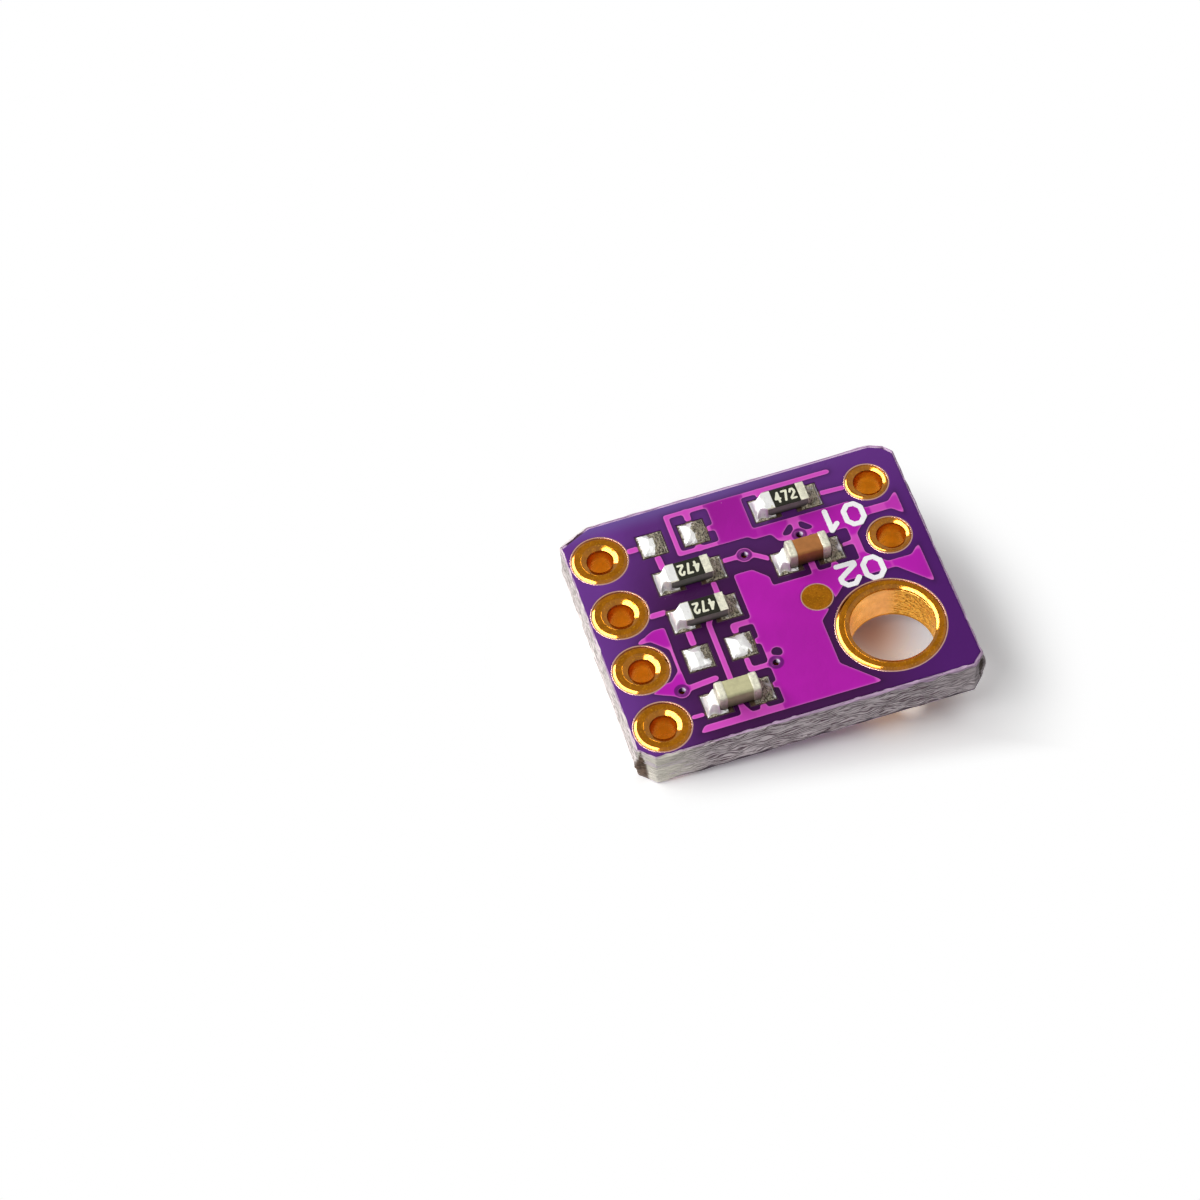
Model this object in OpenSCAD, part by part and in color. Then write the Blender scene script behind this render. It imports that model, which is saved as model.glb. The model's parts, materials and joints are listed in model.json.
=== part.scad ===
// Humidity sensor module: a small plated circuit board with its chip parts on
// one face and the sensing element on the other. Millimetres, +Z up.
// The origin is on the axis of the mounting hole, at the laminate's underside.
// Places on the board are measured from its left and near edges, as a board
// layout does, and place() moves them to the origin.

/* [Board] */
// Width of the laminate, left edge to right edge
board_w = 12.9; // [12.6:0.1:16]
// Depth of the laminate, near edge to far edge
board_d = 10.42; // [10.2:0.02:14]
// How much deeper the panel was broken at the right end
far_skew = 0.08; // [0:0.01:0.15]
// Thickness of the bare laminate
board_t = 1.6; // [0.8:0.1:2.4]
// Long shallow corner cut at the far left, along the far edge
long_cut = 1.15; // [0.3:0.05:1.5]
// Depth of the far corner cuts, along the side edges
far_cut = 0.55; // [0.2:0.05:0.8]
// Corner cut at the far right, along the far edge
short_cut = 0.75; // [0.3:0.05:1]
// Size of the near left corner cut
near_left_cut = 0.55; // [0.3:0.05:0.6]
// Size of the near right corner cut
near_right_cut = 0.42; // [0.3:0.02:0.6]
// Width of the torn nick in each near corner
nick_w = 0.14; // [0.06:0.02:0.2]

/* [Layers] */
// Thickness of the copper foil
copper_t = 0.035; // [0.018:0.001:0.07]
// Thickness of the mask over the copper
mask_over = 0.025; // [0.015:0.001:0.04]
// How much deeper than the foil the mask lies between tracks
mask_fill = 0.01; // [0.005:0.001:0.02]
// Bare margin between the mask and the edge of the laminate
mask_margin = 0.06; // [0.03:0.01:0.15]
// How much wider this margin is along the far edge
far_margin = 0.06; // [0:0.01:0.1]
// Bare gap between a pad and the mask around it
mask_gap = 0.05; // [0.03:0.01:0.1]
// Gap between the ground area and a plated pad
pour_gap = 0.31; // [0.15:0.01:0.34]
// Wall of the plating inside a drilled hole
plating_t = 0.018; // [0.01:0.001:0.05]
// Height of a plated ring above the laminate
ring_t = 0.06; // [0.05:0.005:0.09]
// How far the drill ran to the right of the large and option lands
drill_drift = 0.06; // [0:0.01:0.08]
// How far it ran to the right of the header lands
header_drift = 0.02; // [0:0.01:0.04]

/* [Mounting hole] */
// Distance from the hole's centre to the right edge
mount_from_right = 2.6; // [2.3:0.01:3]
// Distance from the hole's centre to the near edge
mount_y = 2.6; // [2.3:0.01:3]
// Bore of the plated hole
mount_bore = 3.2; // [2.2:0.1:3.4]
// Width of the plated land around the bore
mount_land = 0.38; // [0.2:0.01:0.5]
// Gap between this land and the ground area
mount_gap = 0.36; // [0.2:0.01:0.4]

/* [Header pads] */
// Distance from the pads' centres to the left edge
header_x = 1.18; // [1.16:0.01:1.4]
// Distance from the first pad's centre to the near edge
header_y = 1.17; // [1.1:0.01:1.4]
// Pitch of the header
header_pitch = 2.54; // [2.5:0.01:2.6]
// Bore of a header pad
header_bore = 1.1; // [0.8:0.05:1.3]
// Outside diameter of a header pad
header_land = 2.05; // [1.8:0.01:2.15]

/* [Option pads] */
// Distance from the pads' centres to the right edge
option_from_right = 1.38; // [1.1:0.01:1.6]
// Distance from the first pad's centre to the near edge
option_y = 6.36; // [6.2:0.01:6.6]
// Bore of an option pad
option_bore = 1.15; // [0.7:0.05:1.2]
// Outside diameter of an option pad
option_land = 1.58; // [1.45:0.01:1.8]

/* [Chip footprints] */
// Length of a soldering pad
pad_l = 0.95; // [0.8:0.01:1]
// Width of a soldering pad
pad_w = 1.0; // [0.85:0.01:1.1]
// Distance between the two pads of a footprint
pad_span = 1.6; // [1.5:0.01:1.7]
// Centre of the left column of footprints, from the left edge
left_column = 4.08; // [4:0.01:4.15]
// Centre of the right column of footprints, from the right edge
right_column_from_right = 4.5; // [4.4:0.01:4.6]
// Far row of the left column, from the near edge
far_row = 8.83; // [8.75:0.01:8.9]
// Pitch of the rows in the left column
row_pitch = 1.77; // [1.7:0.01:1.8]
// Row of the near capacitor, from the near edge
near_row = 1.46; // [1.4:0.01:1.5]
// Row of the far resistor in the right column, from the near edge
right_far_row = 8.99; // [8.95:0.01:9.05]
// Row of the capacitor in the right column, from the near edge
right_row = 6.45; // [6.4:0.01:6.5]

/* [Chip parts] */
// Length of a chip part over its ends
chip_l = 1.6; // [1.5:0.01:1.65]
// Width of a chip part
chip_w = 0.8; // [0.7:0.01:0.9]
// Height of a chip resistor
resistor_t = 0.45; // [0.35:0.01:0.55]
// Height of a chip capacitor
capacitor_t = 0.8; // [0.5:0.01:0.9]
// Length of a metal end on a chip part
end_l = 0.3; // [0.2:0.01:0.4]
// Wall of a metal end
end_t = 0.03; // [0.02:0.005:0.05]
// Thickness of the dark glaze on a resistor
glaze_t = 0.025; // [0.015:0.005:0.03]
// Corner radius of a capacitor
capacitor_r = 0.1; // [0.05:0.01:0.15]
// Solder between a pad and the end that stands on it
solder_t = 0.03; // [0.02:0.005:0.06]
// Height of the solder slope on a resistor's end
resistor_rise = 0.34; // [0.2:0.01:0.35]
// Height of the solder slope on a capacitor's end
capacitor_rise = 0.42; // [0.3:0.01:0.48]
// Height of the solder left on an empty pad
bead_t = 0.2; // [0.1:0.01:0.3]

/* [Ground area] */
// Gap between the left column's soldering pads and the ground area
pour_side_gap = 0.23; // [0.15:0.01:0.3]
// Distance from the ground area to the right edge
pour_from_right = 0.53; // [0.35:0.01:0.7]
// Distance from the ground area to the near edge
pour_near = 0.42; // [0.3:0.01:0.5]
// How far the ground area reaches past the far resistor's centre
pour_past = 0.94; // [0.85:0.01:1]
// Width of the ground strip along the near edge
strip_w = 0.29; // [0.2:0.01:0.35]
// Gap between the far resistor's pads and the ground area
band_gap = 0.21; // [0.15:0.01:0.3]
// Width of the bars that frame the far empty footprint
frame_bar = 0.18; // [0.12:0.01:0.22]
// Width of the bars that tie a pad to the ground area
spoke_w = 0.24; // [0.16:0.01:0.28]
// Margin of the back ground area, inside the board's edges
back_margin = 0.45; // [0.3:0.01:0.5]

/* [Tracks and vias] */
// Width of a normal track
track_w = 0.2; // [0.15:0.01:0.22]
// Width of a supply track
wide_track_w = 0.24; // [0.18:0.01:0.28]
// Width of the track from the first header pad
data_track_w = 0.17; // [0.14:0.01:0.2]
// Bore of a via
via_bore = 0.3; // [0.2:0.01:0.34]
// Land of a via
via_land = 0.62; // [0.5:0.01:0.66]
// Distance from the bare plated dot's centre to the right edge
dot_from_right = 4.77; // [4.6:0.01:4.9]
// Distance from the dot's centre to the near edge
dot_y = 4.62; // [4.5:0.01:4.8]
// Diameter of the dot
dot_d = 1.2; // [0.8:0.01:1.3]
// Thickness of the plating on the dot
dot_t = 0.012; // [0.005:0.001:0.02]

/* [Sensor] */
// Side of the square sensor package
sensor_w = 2.5; // [2.4:0.05:3]
// Height of the sensor package
sensor_t = 0.9; // [0.75:0.05:1.1]
// Distance from the sensor's centre to the right edge
sensor_from_right = 4.5; // [4.4:0.01:4.7]
// Distance from the sensor's centre to the near edge
sensor_y = 6.6; // [6.3:0.01:6.9]
// Opening over the sensing chip, at the package's face
vent_d = 1.4; // [1:0.05:1.8]
// Opening over the sensing chip, at its bottom
vent_throat = 0.9; // [0.6:0.05:1]
// Depth of the opening
vent_depth = 0.35; // [0.2:0.05:0.4]
// Side of the sensing chip
die_w = 1.3; // [1.1:0.05:1.5]
// Thickness of the sensing chip
die_t = 0.3; // [0.2:0.05:0.3]
// Pitch of the sensor's contacts
contact_pitch = 0.5; // [0.4:0.05:0.65]
// Width of a contact
contact_w = 0.25; // [0.2:0.01:0.3]
// Length of a contact
contact_l = 0.35; // [0.25:0.01:0.4]
// Thickness of the contact metal
contact_t = 0.15; // [0.1:0.01:0.2]
// Width of the middle contact
paddle_w = 1.0; // [0.8:0.05:1.1]
// Length of the middle contact
paddle_l = 1.7; // [1.4:0.05:1.9]

/* [Hidden] */
$fn = 48;
// A hair's breadth that keeps cuts clean, and the reach of a cutter past its work
eps = 0.01;
past = 1;

// Places on the board, from its left and near edges
mount = [board_w - mount_from_right, mount_y];
mount_land_spot = mount - [drill_drift, 0];
mount_land_d = mount_bore + 2 * mount_land;
header = [for (i = [0:3]) [header_x, header_y + i * header_pitch]];
option = [for (i = [0:1]) [board_w - option_from_right, option_y + i * header_pitch]];
// The far empty footprint stands a little to the left of its column
far_shift = 0.08;
right_column = board_w - right_column_from_right;
empty_far = [left_column - far_shift, far_row];
resistor_1 = [left_column, far_row - row_pitch];
resistor_2 = [left_column, far_row - 2 * row_pitch];
empty_near = [left_column, far_row - 3 * row_pitch];
resistor_3 = [right_column, right_far_row];
capacitor_1 = [right_column, right_row];
capacitor_2 = [left_column, near_row];
footprints = [empty_far, resistor_1, resistor_2, empty_near, resistor_3, capacitor_1, capacitor_2];
sensor = [board_w - sensor_from_right, sensor_y];
dot = [board_w - dot_from_right, dot_y];

// The vias, each by the parts that its track serves. The supply via lies midway
// between its resistor and its capacitor.
supply_rise = 0.2;
clock_via_from_headers = [1.1, -0.07];
ground_via_from_footprint = [1.75, -1.1];
link_via_from_capacitor = [0.02, 1];
supply_via = [(left_column + right_column) / 2, resistor_1[1] + supply_rise];
clock_via = (header[0] + header[1]) / 2 + clock_via_from_headers;
ground_via = empty_near + ground_via_from_footprint;
link_via = capacitor_1 + link_via_from_capacitor;
via_places = [supply_via, clock_via, ground_via, link_via];

// Levels
front = board_t;
copper_top = board_t + copper_t;
chip_z = copper_top + solder_t;
sensor_z = -copper_t - solder_t;

// The edges of the ground area. It has a far band and a main part, and between
// them the supply track's clearance, which keeps off the first resistor's row.
supply_band = 0.93;
supply_drop = 0.52;
capacitor_drop = 0.82;
pour_left = left_column + pad_span / 2 + pad_l / 2 + pour_side_gap;
pour_right = board_w - pour_from_right;
pour_far = resistor_3[1] + pour_past;
band_far = resistor_3[1] - pad_w / 2 - band_gap;
band_near = resistor_1[1] + supply_band;
main_far = resistor_1[1] - supply_drop;
capacitor_near = capacitor_1[1] - capacitor_drop;

module place() translate([-mount[0], -mount[1], 0]) children();

// Plan shapes shared by the layers

// The broken outline, brought in by a margin that may be wider at the far edge
module outline_2d(gap, far_gap) {
    // The far right corner bows out: its middle point lies at this share of the cut
    bow = 0.37;
    right = board_w - gap;
    far_left = board_d - far_gap;
    far_right = board_d + far_skew - far_gap;
    polygon([
        [gap, near_left_cut + gap / 2], [near_left_cut + gap / 2, gap],
        [right - near_right_cut + gap / 2, gap], [right, near_right_cut + gap / 2],
        [right, far_right - far_cut], [right - bow * short_cut, far_right - bow * far_cut],
        [right - short_cut, far_right], [long_cut + gap, far_left], [gap, far_left - far_cut]
    ]);
}

// The outline has a torn nick in each near corner, where the panel's tabs were
module laminate_2d() {
    difference() {
        outline_2d(0, 0);
        translate([0, near_left_cut - nick_w]) rotate(45) square(nick_w, center = true);
        translate([board_w, near_right_cut - nick_w]) rotate(45) square(nick_w, center = true);
    }
}

module mask_outline_2d() outline_2d(mask_margin, mask_margin + far_margin);

module octagon(centre, flat_r) translate(centre) rotate(22.5) circle(r = flat_r / cos(22.5), $fn = 8);

module disc(centre, d) translate(centre) circle(d = d);

module block_2d(corner, size) translate(corner) square(size);

// A track of one width through the given points, with round joins and ends
module track(points, w = track_w) {
    for (i = [0:len(points) - 2]) {
        step = points[i + 1] - points[i];
        translate(points[i]) rotate(atan2(step[1], step[0])) translate([0, -w / 2]) square([norm(step), w]);
    }
    for (p = points) disc(p, w);
}

function pad_centre(spot, side) = spot + [side * pad_span / 2, 0];

module chip_pads(grow = 0) {
    for (spot = footprints, side = [-1, 1])
        translate(pad_centre(spot, side)) square([pad_l + 2 * grow, pad_w + 2 * grow], center = true);
}

// Four cut-outs that leave a via on a cross of spokes
module relief(centre) {
    ring = 0.27;
    tuck = 0.05;
    difference() {
        octagon(centre, via_land / 2 + ring);
        translate(centre) square([spoke_w, 2 * via_land], center = true);
        translate(centre) square([2 * via_land, spoke_w], center = true);
        disc(centre, via_land - 2 * tuck);
    }
}

// Everything that is plated through, over its whole land
module plated_lands(grow = 0) {
    disc(mount_land_spot, mount_land_d + 2 * grow);
    for (p = header) disc(p, header_land + 2 * grow);
    for (p = option) disc(p, option_land + 2 * grow);
}

module via_lands() for (p = via_places) disc(p, via_land);

// What the ground area keeps clear of on both faces
module pad_clearances() {
    octagon(mount, mount_land_d / 2 + mount_gap);
    for (p = header) octagon(p, header_land / 2 + pour_gap);
    for (p = option) octagon(p, option_land / 2 + pour_gap);
}

// Front copper

// Bars on three sides of the far empty footprint
module far_frame_2d() {
    left = empty_far[0] - frame_bar / 4;
    difference() {
        block_2d([left, band_near], [pour_left - left + eps, pour_far - band_near]);
        block_2d([left, band_near] + [frame_bar, frame_bar], [pour_left - left, pour_far - band_near - 2 * frame_bar]);
    }
}

// Clear ground round the supply via, its tracks and the left pad of a capacitor
module supply_clearance_2d() {
    side = 0.33;
    slant = 0.18;
    rise = 0.8;
    flare = [0.5, 0.4];
    left_pad = pad_centre(capacitor_1, -1)[0] - pad_l / 2;
    middle = capacitor_1[0] - slant / 2;
    polygon([
        [pour_left - past, band_near], [left_pad - side - slant, band_near],
        [left_pad - side, band_near - slant], [left_pad + side, band_near - slant],
        [left_pad + side + slant, capacitor_1[1] + rise + slant], [middle, capacitor_1[1] + rise],
        [middle, capacitor_near], [left_pad - side, capacitor_near],
        [left_pad - side, capacitor_near + flare[1]], [left_pad - side - flare[0], main_far],
        [pour_left - past, main_far]
    ]);
}

// Clear ground round the right pad of the same capacitor
module capacitor_clearance_2d() {
    off_middle = 0.15;
    lift = 0.06;
    block_2d([capacitor_1[0] + off_middle, capacitor_near + lift], [pad_span, pad_w + 2 * pad_w / 4]);
}

// The far block of the ground area reaches past the supply track's end
module ground_2d() {
    block_gap = 0.7;
    block_right = pad_centre(capacitor_1, -1)[0] - block_gap;
    corner_take = 1;
    nick_from_via = [0.17, 0.42];
    nick_r = 0.21;
    difference() {
        union() {
            polygon([
                [pour_left, pour_near], [mount[0] - corner_take, pour_near], mount, [pour_right, mount[1]],
                [pour_right, band_far], [pour_left, band_far]
            ]);
            block_2d([pour_left, band_near], [block_right - pour_left, pour_far - band_near]);
            far_frame_2d();
        }
        pad_clearances();
        supply_clearance_2d();
        capacitor_clearance_2d();
        relief(link_via);
        octagon(ground_via + nick_from_via, nick_r);
    }
}

// The strip along the near edge, with a slanted end, and the far edge's track
module ground_strips_2d() {
    strip_left = header[0][0] + header_land / 2 + 0.12;
    strip_far = pour_near + strip_w;
    far_y = pour_far - track_w / 2;
    polygon([
        [strip_left, pour_near], [pour_left + eps, pour_near], [pour_left + eps, strip_far],
        [strip_left + strip_w, strip_far]
    ]);
    track([[pour_left, far_y], [mount[0], far_y]]);
}

// Short bars that tie soldering pads to the ground area
module spokes_2d() {
    reach = 0.95;
    thin_w = spoke_w - 0.08;
    loop_rise = 0.9;
    near_shift = 0.06;
    right = pad_centre(capacitor_1, 1);
    track([right, right + [reach, near_shift]], thin_w);
    for (way = [-reach, reach]) track([right, right + [0, way]], spoke_w);
    window = pad_centre(empty_far, 1);
    for (y = [band_near + frame_bar / 2, pour_far - frame_bar / 2]) track([window, [window[0], y]], spoke_w);
    track([window, window + [reach, 0]], spoke_w);
    corner = pad_centre(empty_near, 1);
    track([corner, corner + [reach, 0]], spoke_w);
    track([corner, corner + [0, loop_rise], corner + [reach, loop_rise]], wide_track_w);
    near = pad_centre(capacitor_2, 1);
    track([near, near + [reach, 2 * near_shift]], spoke_w);
    track([near - [near_shift, 0], [near[0] - near_shift, pour_near + strip_w / 2]], spoke_w);
    hidden = pad_centre(resistor_3, -1);
    track([hidden, [hidden[0], pour_far - track_w / 2]], spoke_w);
}

// The small area that brings the second header pad to its via
module clock_area_2d() {
    reach = header_land / 2 + pour_gap;
    rise = 1.48;
    drop = 0.5;
    shoulder = [[0, 0.9], [0.3, 1.2], [0.9, rise]];
    foot = [[0.25, 0], [-0.15, -0.2]];
    heel = [-0.1, -1.05];
    window_from_pad = [0.35, -0.85];
    window_h = 1.9;
    thin = 0.12;
    c = header[1];
    difference() {
        polygon(concat([for (p = shoulder) c + p], [c + [reach, rise], c + [reach, -drop]],
            [for (p = foot) clock_via + p], [c + heel]));
        octagon(header[2], reach - thin / 2);
        intersection() {
            octagon(c, reach - thin);
            block_2d(c + window_from_pad, [reach, window_h]);
        }
    }
}

// The tracks, each from its header or option pad to the chip parts it serves
module signal_tracks_2d() {
    supply_knee = [0.35, -0.12];
    supply_end = [-0.2, 0.1];
    inset = 0.09;
    lower = 0.45;
    data_drop = 0.29;
    clock_reach = 0.3;
    clock_rise = 0.12;
    left = pad_centre([left_column, 0], -1)[0];
    right = pad_centre([left_column, 0], 1)[0];
    track([header[3], pad_centre(empty_far, -1)], wide_track_w);
    track([pad_centre(empty_far, -1), pad_centre(resistor_1, -1)], wide_track_w);
    track([pad_centre(resistor_1, 1) + [0, supply_rise], supply_via]);
    track([supply_via, supply_via + supply_knee, pad_centre(capacitor_1, -1) + supply_end]);
    track([[right - inset, resistor_1[1]], [right - inset, resistor_2[1]]]);
    track([header[2] - [0, lower], [left, header[2][1] - lower]], wide_track_w);
    track([pad_centre(resistor_2, -1), pad_centre(empty_near, -1)], wide_track_w);
    track([pad_centre(empty_near, 1), [right, ground_via[1]], ground_via]);
    track([header[0], pad_centre(capacitor_2, -1) - [0, data_drop]], data_track_w);
    track([pad_centre(resistor_3, 1), option[1]]);
    track([clock_via, [left + clock_reach, clock_via[1] + clock_rise]], wide_track_w);
    clock_area_2d();
}

// The long track that runs under the near capacitor, with its flared foot
module long_track_2d() {
    bend = [[0.35, -0.15], [0.12, -0.3], [0, -0.5]];
    flare_h = 0.4;
    flare_w = 0.2;
    x = left_column - eps;
    foot = pour_near + strip_w;
    track(concat([for (p = bend) [x, resistor_2[1]] + p], [[x, foot]]));
    polygon([
        [x - track_w / 2, foot - eps], [x + track_w / 2 + flare_w, foot - eps],
        [x + track_w / 2, foot + flare_h], [x - track_w / 2, foot + flare_h]
    ]);
}

// All the foil on the front, without the plated lands and the vias
module front_foil_2d() {
    difference() {
        union() {
            ground_2d();
            ground_strips_2d();
            spokes_2d();
            signal_tracks_2d();
            long_track_2d();
            chip_pads();
        }
        plated_lands();
        via_lands();
    }
}

// Back copper

middle_row = 1.5;

function contact_spot(side, i) =
    sensor + [side * (sensor_w - contact_l) / 2, (middle_row - i) * contact_pitch];

module contact_pads(grow = 0) {
    toe = 0.2;
    for (side = [-1, 1], i = [0:3])
        translate(contact_spot(side, i) + [side * toe / 2, 0])
            square([contact_l + toe + 2 * grow, contact_w + 2 * grow], center = true);
    translate(sensor) square([paddle_w + 2 * grow, paddle_l + 2 * grow], center = true);
}

// Each route runs from a contact of the sensor to a plated pad or a via: level
// out of the contact, down a slope, and level again over a stub before its end
leave = 0.22;
pad_stub = 1.2;
via_stub = 0.6;

function slanted(from, to, stub) =
    let(
        side = sign(to[0] - from[0]),
        drop = abs(to[1] - from[1]),
        level = max(leave, abs(to[0] - from[0]) - stub - drop)
    )
    [from, from + [side * level, 0], [from[0] + side * (level + drop), to[1]], to];

// The second route first dips, to keep off the supply via
dip = [0.45, 0.25];
dip_start = contact_spot(-1, 1) - [dip[0], 0];
back_routes = [
    [contact_spot(-1, 0), supply_via],
    concat([contact_spot(-1, 1), dip_start], slanted(dip_start - dip, header[2], pad_stub)),
    slanted(contact_spot(-1, 2), clock_via, via_stub),
    slanted(contact_spot(-1, 3), header[0], pad_stub),
    slanted(contact_spot(1, 0), option[1], via_stub),
    slanted(contact_spot(1, 1), option[0], via_stub)
];

function reversed(list) = [for (i = [len(list) - 1:-1:0]) list[i]];

module back_tracks_2d(w) for (route = back_routes) track(route, w);

// No ground lies between neighbouring routes, where nothing would feed it
module between_routes_2d() {
    polygon(concat(back_routes[1], reversed(back_routes[3])));
    polygon(concat(back_routes[4], reversed(back_routes[5])));
}

module back_ground_2d() {
    left = header_x + header_land / 2 + pour_gap + eps;
    right = board_w - back_margin;
    far = board_d - back_margin - 2 * far_margin;
    room = contact_l + 2 * eps;
    difference() {
        polygon([
            [left, back_margin], [mount[0] - mount_bore / 2, back_margin], mount, [right, mount[1]],
            [right, option[0][1]], option[0], option[1], [option[1][0], far], [left, far]
        ]);
        pad_clearances();
        between_routes_2d();
        back_tracks_2d(track_w + 2 * pour_gap);
        translate(sensor) square([sensor_w + 2 * room, 3 * contact_pitch + 2 * room], center = true);
        for (via = [supply_via, clock_via]) octagon(via, via_land / 2 + pour_gap + eps);
    }
}

module back_foil_2d() {
    bar_w = 0.5;
    bar_reach = 1.4;
    feed_w = 0.4;
    feed_reach = 1.8;
    difference() {
        union() {
            back_ground_2d();
            back_tracks_2d(track_w);
            contact_pads();
            for (i = [2, 3]) track([sensor, contact_spot(1, i)], track_w);
            track([sensor - [0, bar_reach], sensor + [0, bar_reach]], bar_w);
            track([header[3], header[3] + [feed_reach, 0]], feed_w);
        }
        plated_lands();
        via_lands();
    }
}

// The solids of the bare board

module laminate() {
    color([0.86, 0.85, 0.80]) place() difference() {
        linear_extrude(board_t) laminate_2d();
        translate([0, 0, -past]) linear_extrude(board_t + 2 * past) {
            disc(mount, mount_bore + 2 * plating_t);
            for (p = header) disc(p + [header_drift, 0], header_bore + 2 * plating_t);
            for (p = option) disc(p + [drill_drift, 0], option_bore + 2 * plating_t);
            for (p = via_places) disc(p, via_bore + 2 * plating_t);
        }
    }
}

module copper_front() {
    color([0.80, 0.45, 0.25]) place() translate([0, 0, front]) linear_extrude(copper_t) front_foil_2d();
}

module copper_back() {
    color([0.80, 0.45, 0.25]) place() translate([0, 0, -copper_t]) linear_extrude(copper_t) back_foil_2d();
}

// Where the mask is open: plated lands, soldering pads and via bores
module mask_openings_2d() {
    plated_lands(mask_gap);
    for (p = via_places) disc(p, via_bore);
}

// A mask lies deeper between the tracks and steps up over them
module mask_sheet() {
    linear_extrude(copper_t + mask_fill) mask_outline_2d();
    linear_extrude(copper_t + mask_over) intersection() {
        union() {
            children();
            via_lands();
        }
        mask_outline_2d();
    }
}

module mask_front() {
    color([0.42, 0.08, 0.50]) place() translate([0, 0, front]) difference() {
        mask_sheet() front_foil_2d();
        translate([0, 0, -eps]) linear_extrude(copper_t + eps) {
            front_foil_2d();
            via_lands();
        }
        translate([0, 0, -past]) linear_extrude(2 * past) {
            mask_openings_2d();
            chip_pads(mask_gap);
            disc(dot, dot_d);
        }
    }
}

module mask_back() {
    color([0.42, 0.08, 0.50]) place() mirror([0, 0, 1]) difference() {
        mask_sheet() back_foil_2d();
        translate([0, 0, -eps]) linear_extrude(copper_t + eps) {
            back_foil_2d();
            via_lands();
        }
        translate([0, 0, -past]) linear_extrude(2 * past) {
            mask_openings_2d();
            contact_pads(mask_gap / 2);
        }
    }
}

// A plated hole: a barrel through the laminate and a land on each face. The
// land's centre is given, and the bore's distance to the right of it.
module plated_hole(centre, bore, land, height, drift = 0) {
    translate([centre[0], centre[1], 0]) difference() {
        union() {
            translate([drift, 0, -height]) cylinder(d = bore + 2 * plating_t, h = board_t + 2 * height);
            translate([0, 0, front]) cylinder(d = land, h = height);
            translate([0, 0, -height]) cylinder(d = land, h = height);
        }
        translate([drift, 0, -past]) cylinder(d = bore, h = board_t + 2 * past);
    }
}

module mounting_land() {
    color([0.80, 0.55, 0.20]) place()
        plated_hole(mount_land_spot, mount_bore, mount_land_d, ring_t, drill_drift);
}

module header_pad(i) {
    color([0.80, 0.55, 0.20]) place()
        plated_hole(header[i], header_bore, header_land, ring_t, header_drift);
}

module option_pad(i) {
    color([0.80, 0.55, 0.20]) place()
        plated_hole(option[i], option_bore, option_land, ring_t, drill_drift);
}

module vias() {
    color([0.80, 0.45, 0.25]) place() for (p = via_places) plated_hole(p, via_bore, via_land, copper_t);
}

module plated_dot() {
    color([0.80, 0.55, 0.20]) place()
        translate([dot[0], dot[1], copper_top]) cylinder(d = dot_d, h = dot_t);
}

// Chip parts

module at_chip(spot) place() translate([spot[0], spot[1], chip_z]) children();

module resistor_core(spot) {
    color([0.90, 0.90, 0.86]) at_chip(spot)
        translate([-chip_l / 2 + end_t, -chip_w / 2, end_t])
            cube([chip_l - 2 * end_t, chip_w, resistor_t - 2 * end_t]);
}

// The glaze bulges a little above the ends of the ceramic
module resistor_glaze(spot) {
    half = chip_l / 2 - end_l;
    color([0.12, 0.12, 0.12]) at_chip(spot)
        translate([0, -chip_w / 2, resistor_t - end_t]) cube_round_top(2 * half, chip_w, glaze_t);
}

// A low slab whose long edges are bevelled
module cube_round_top(l, w, h) {
    translate([0, w, 0]) rotate([90, 0, 0]) linear_extrude(w)
        polygon([[-l / 2, 0], [l / 2, 0], [l / 2 - h, h], [-l / 2 + h, h]]);
}

// Metal ends that wrap over the top, the end and the underside
module resistor_ends(spot) {
    color([0.85, 0.84, 0.80]) at_chip(spot) for (side = [0, 1]) mirror([side, 0, 0]) difference() {
        translate([chip_l / 2 - end_l, -chip_w / 2, 0]) cube([end_l, chip_w, resistor_t]);
        translate([0, -chip_w, end_t]) cube([chip_l / 2 - end_t, 2 * chip_w, resistor_t - 2 * end_t]);
    }
}

// A bar with round edges along X, of the given section
module soft_bar(l, w, h, r) {
    intersection() {
        rotate([90, 0, 90]) linear_extrude(l, center = true) soft_square(w, h, r);
        linear_extrude(h * 3, center = true) soft_square(l, w, r);
        rotate([90, 0, 0]) linear_extrude(w * 2, center = true) soft_square(l, h, r);
    }
}

module soft_square(w, h, r) {
    square([w - 2 * r, h], center = true);
    square([w, h - 2 * r], center = true);
    for (x = [-1, 1], y = [-1, 1]) translate([x * (w / 2 - r), y * (h / 2 - r)]) circle(r = r);
}

module capacitor_blank(inset) {
    translate([0, 0, capacitor_t / 2])
        soft_bar(chip_l - 2 * inset, chip_w - 2 * inset, capacitor_t - 2 * inset, capacitor_r);
}

module capacitor_body(spot, tint) {
    color(tint) at_chip(spot) capacitor_blank(end_t);
}

// Metal caps that close over the ends on every side
module capacitor_ends(spot) {
    color([0.88, 0.86, 0.80]) at_chip(spot) difference() {
        capacitor_blank(0);
        capacitor_blank(end_t);
        cube([chip_l - 2 * end_l, 2 * chip_w, 3 * capacitor_t], center = true);
    }
}

// Solder

// Height of the solder slope at a share of its run, falling fast and then flat
sag = 2.2;
function slope(share, rise) = solder_t + (rise - solder_t) * pow(1 - share, sag);

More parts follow.
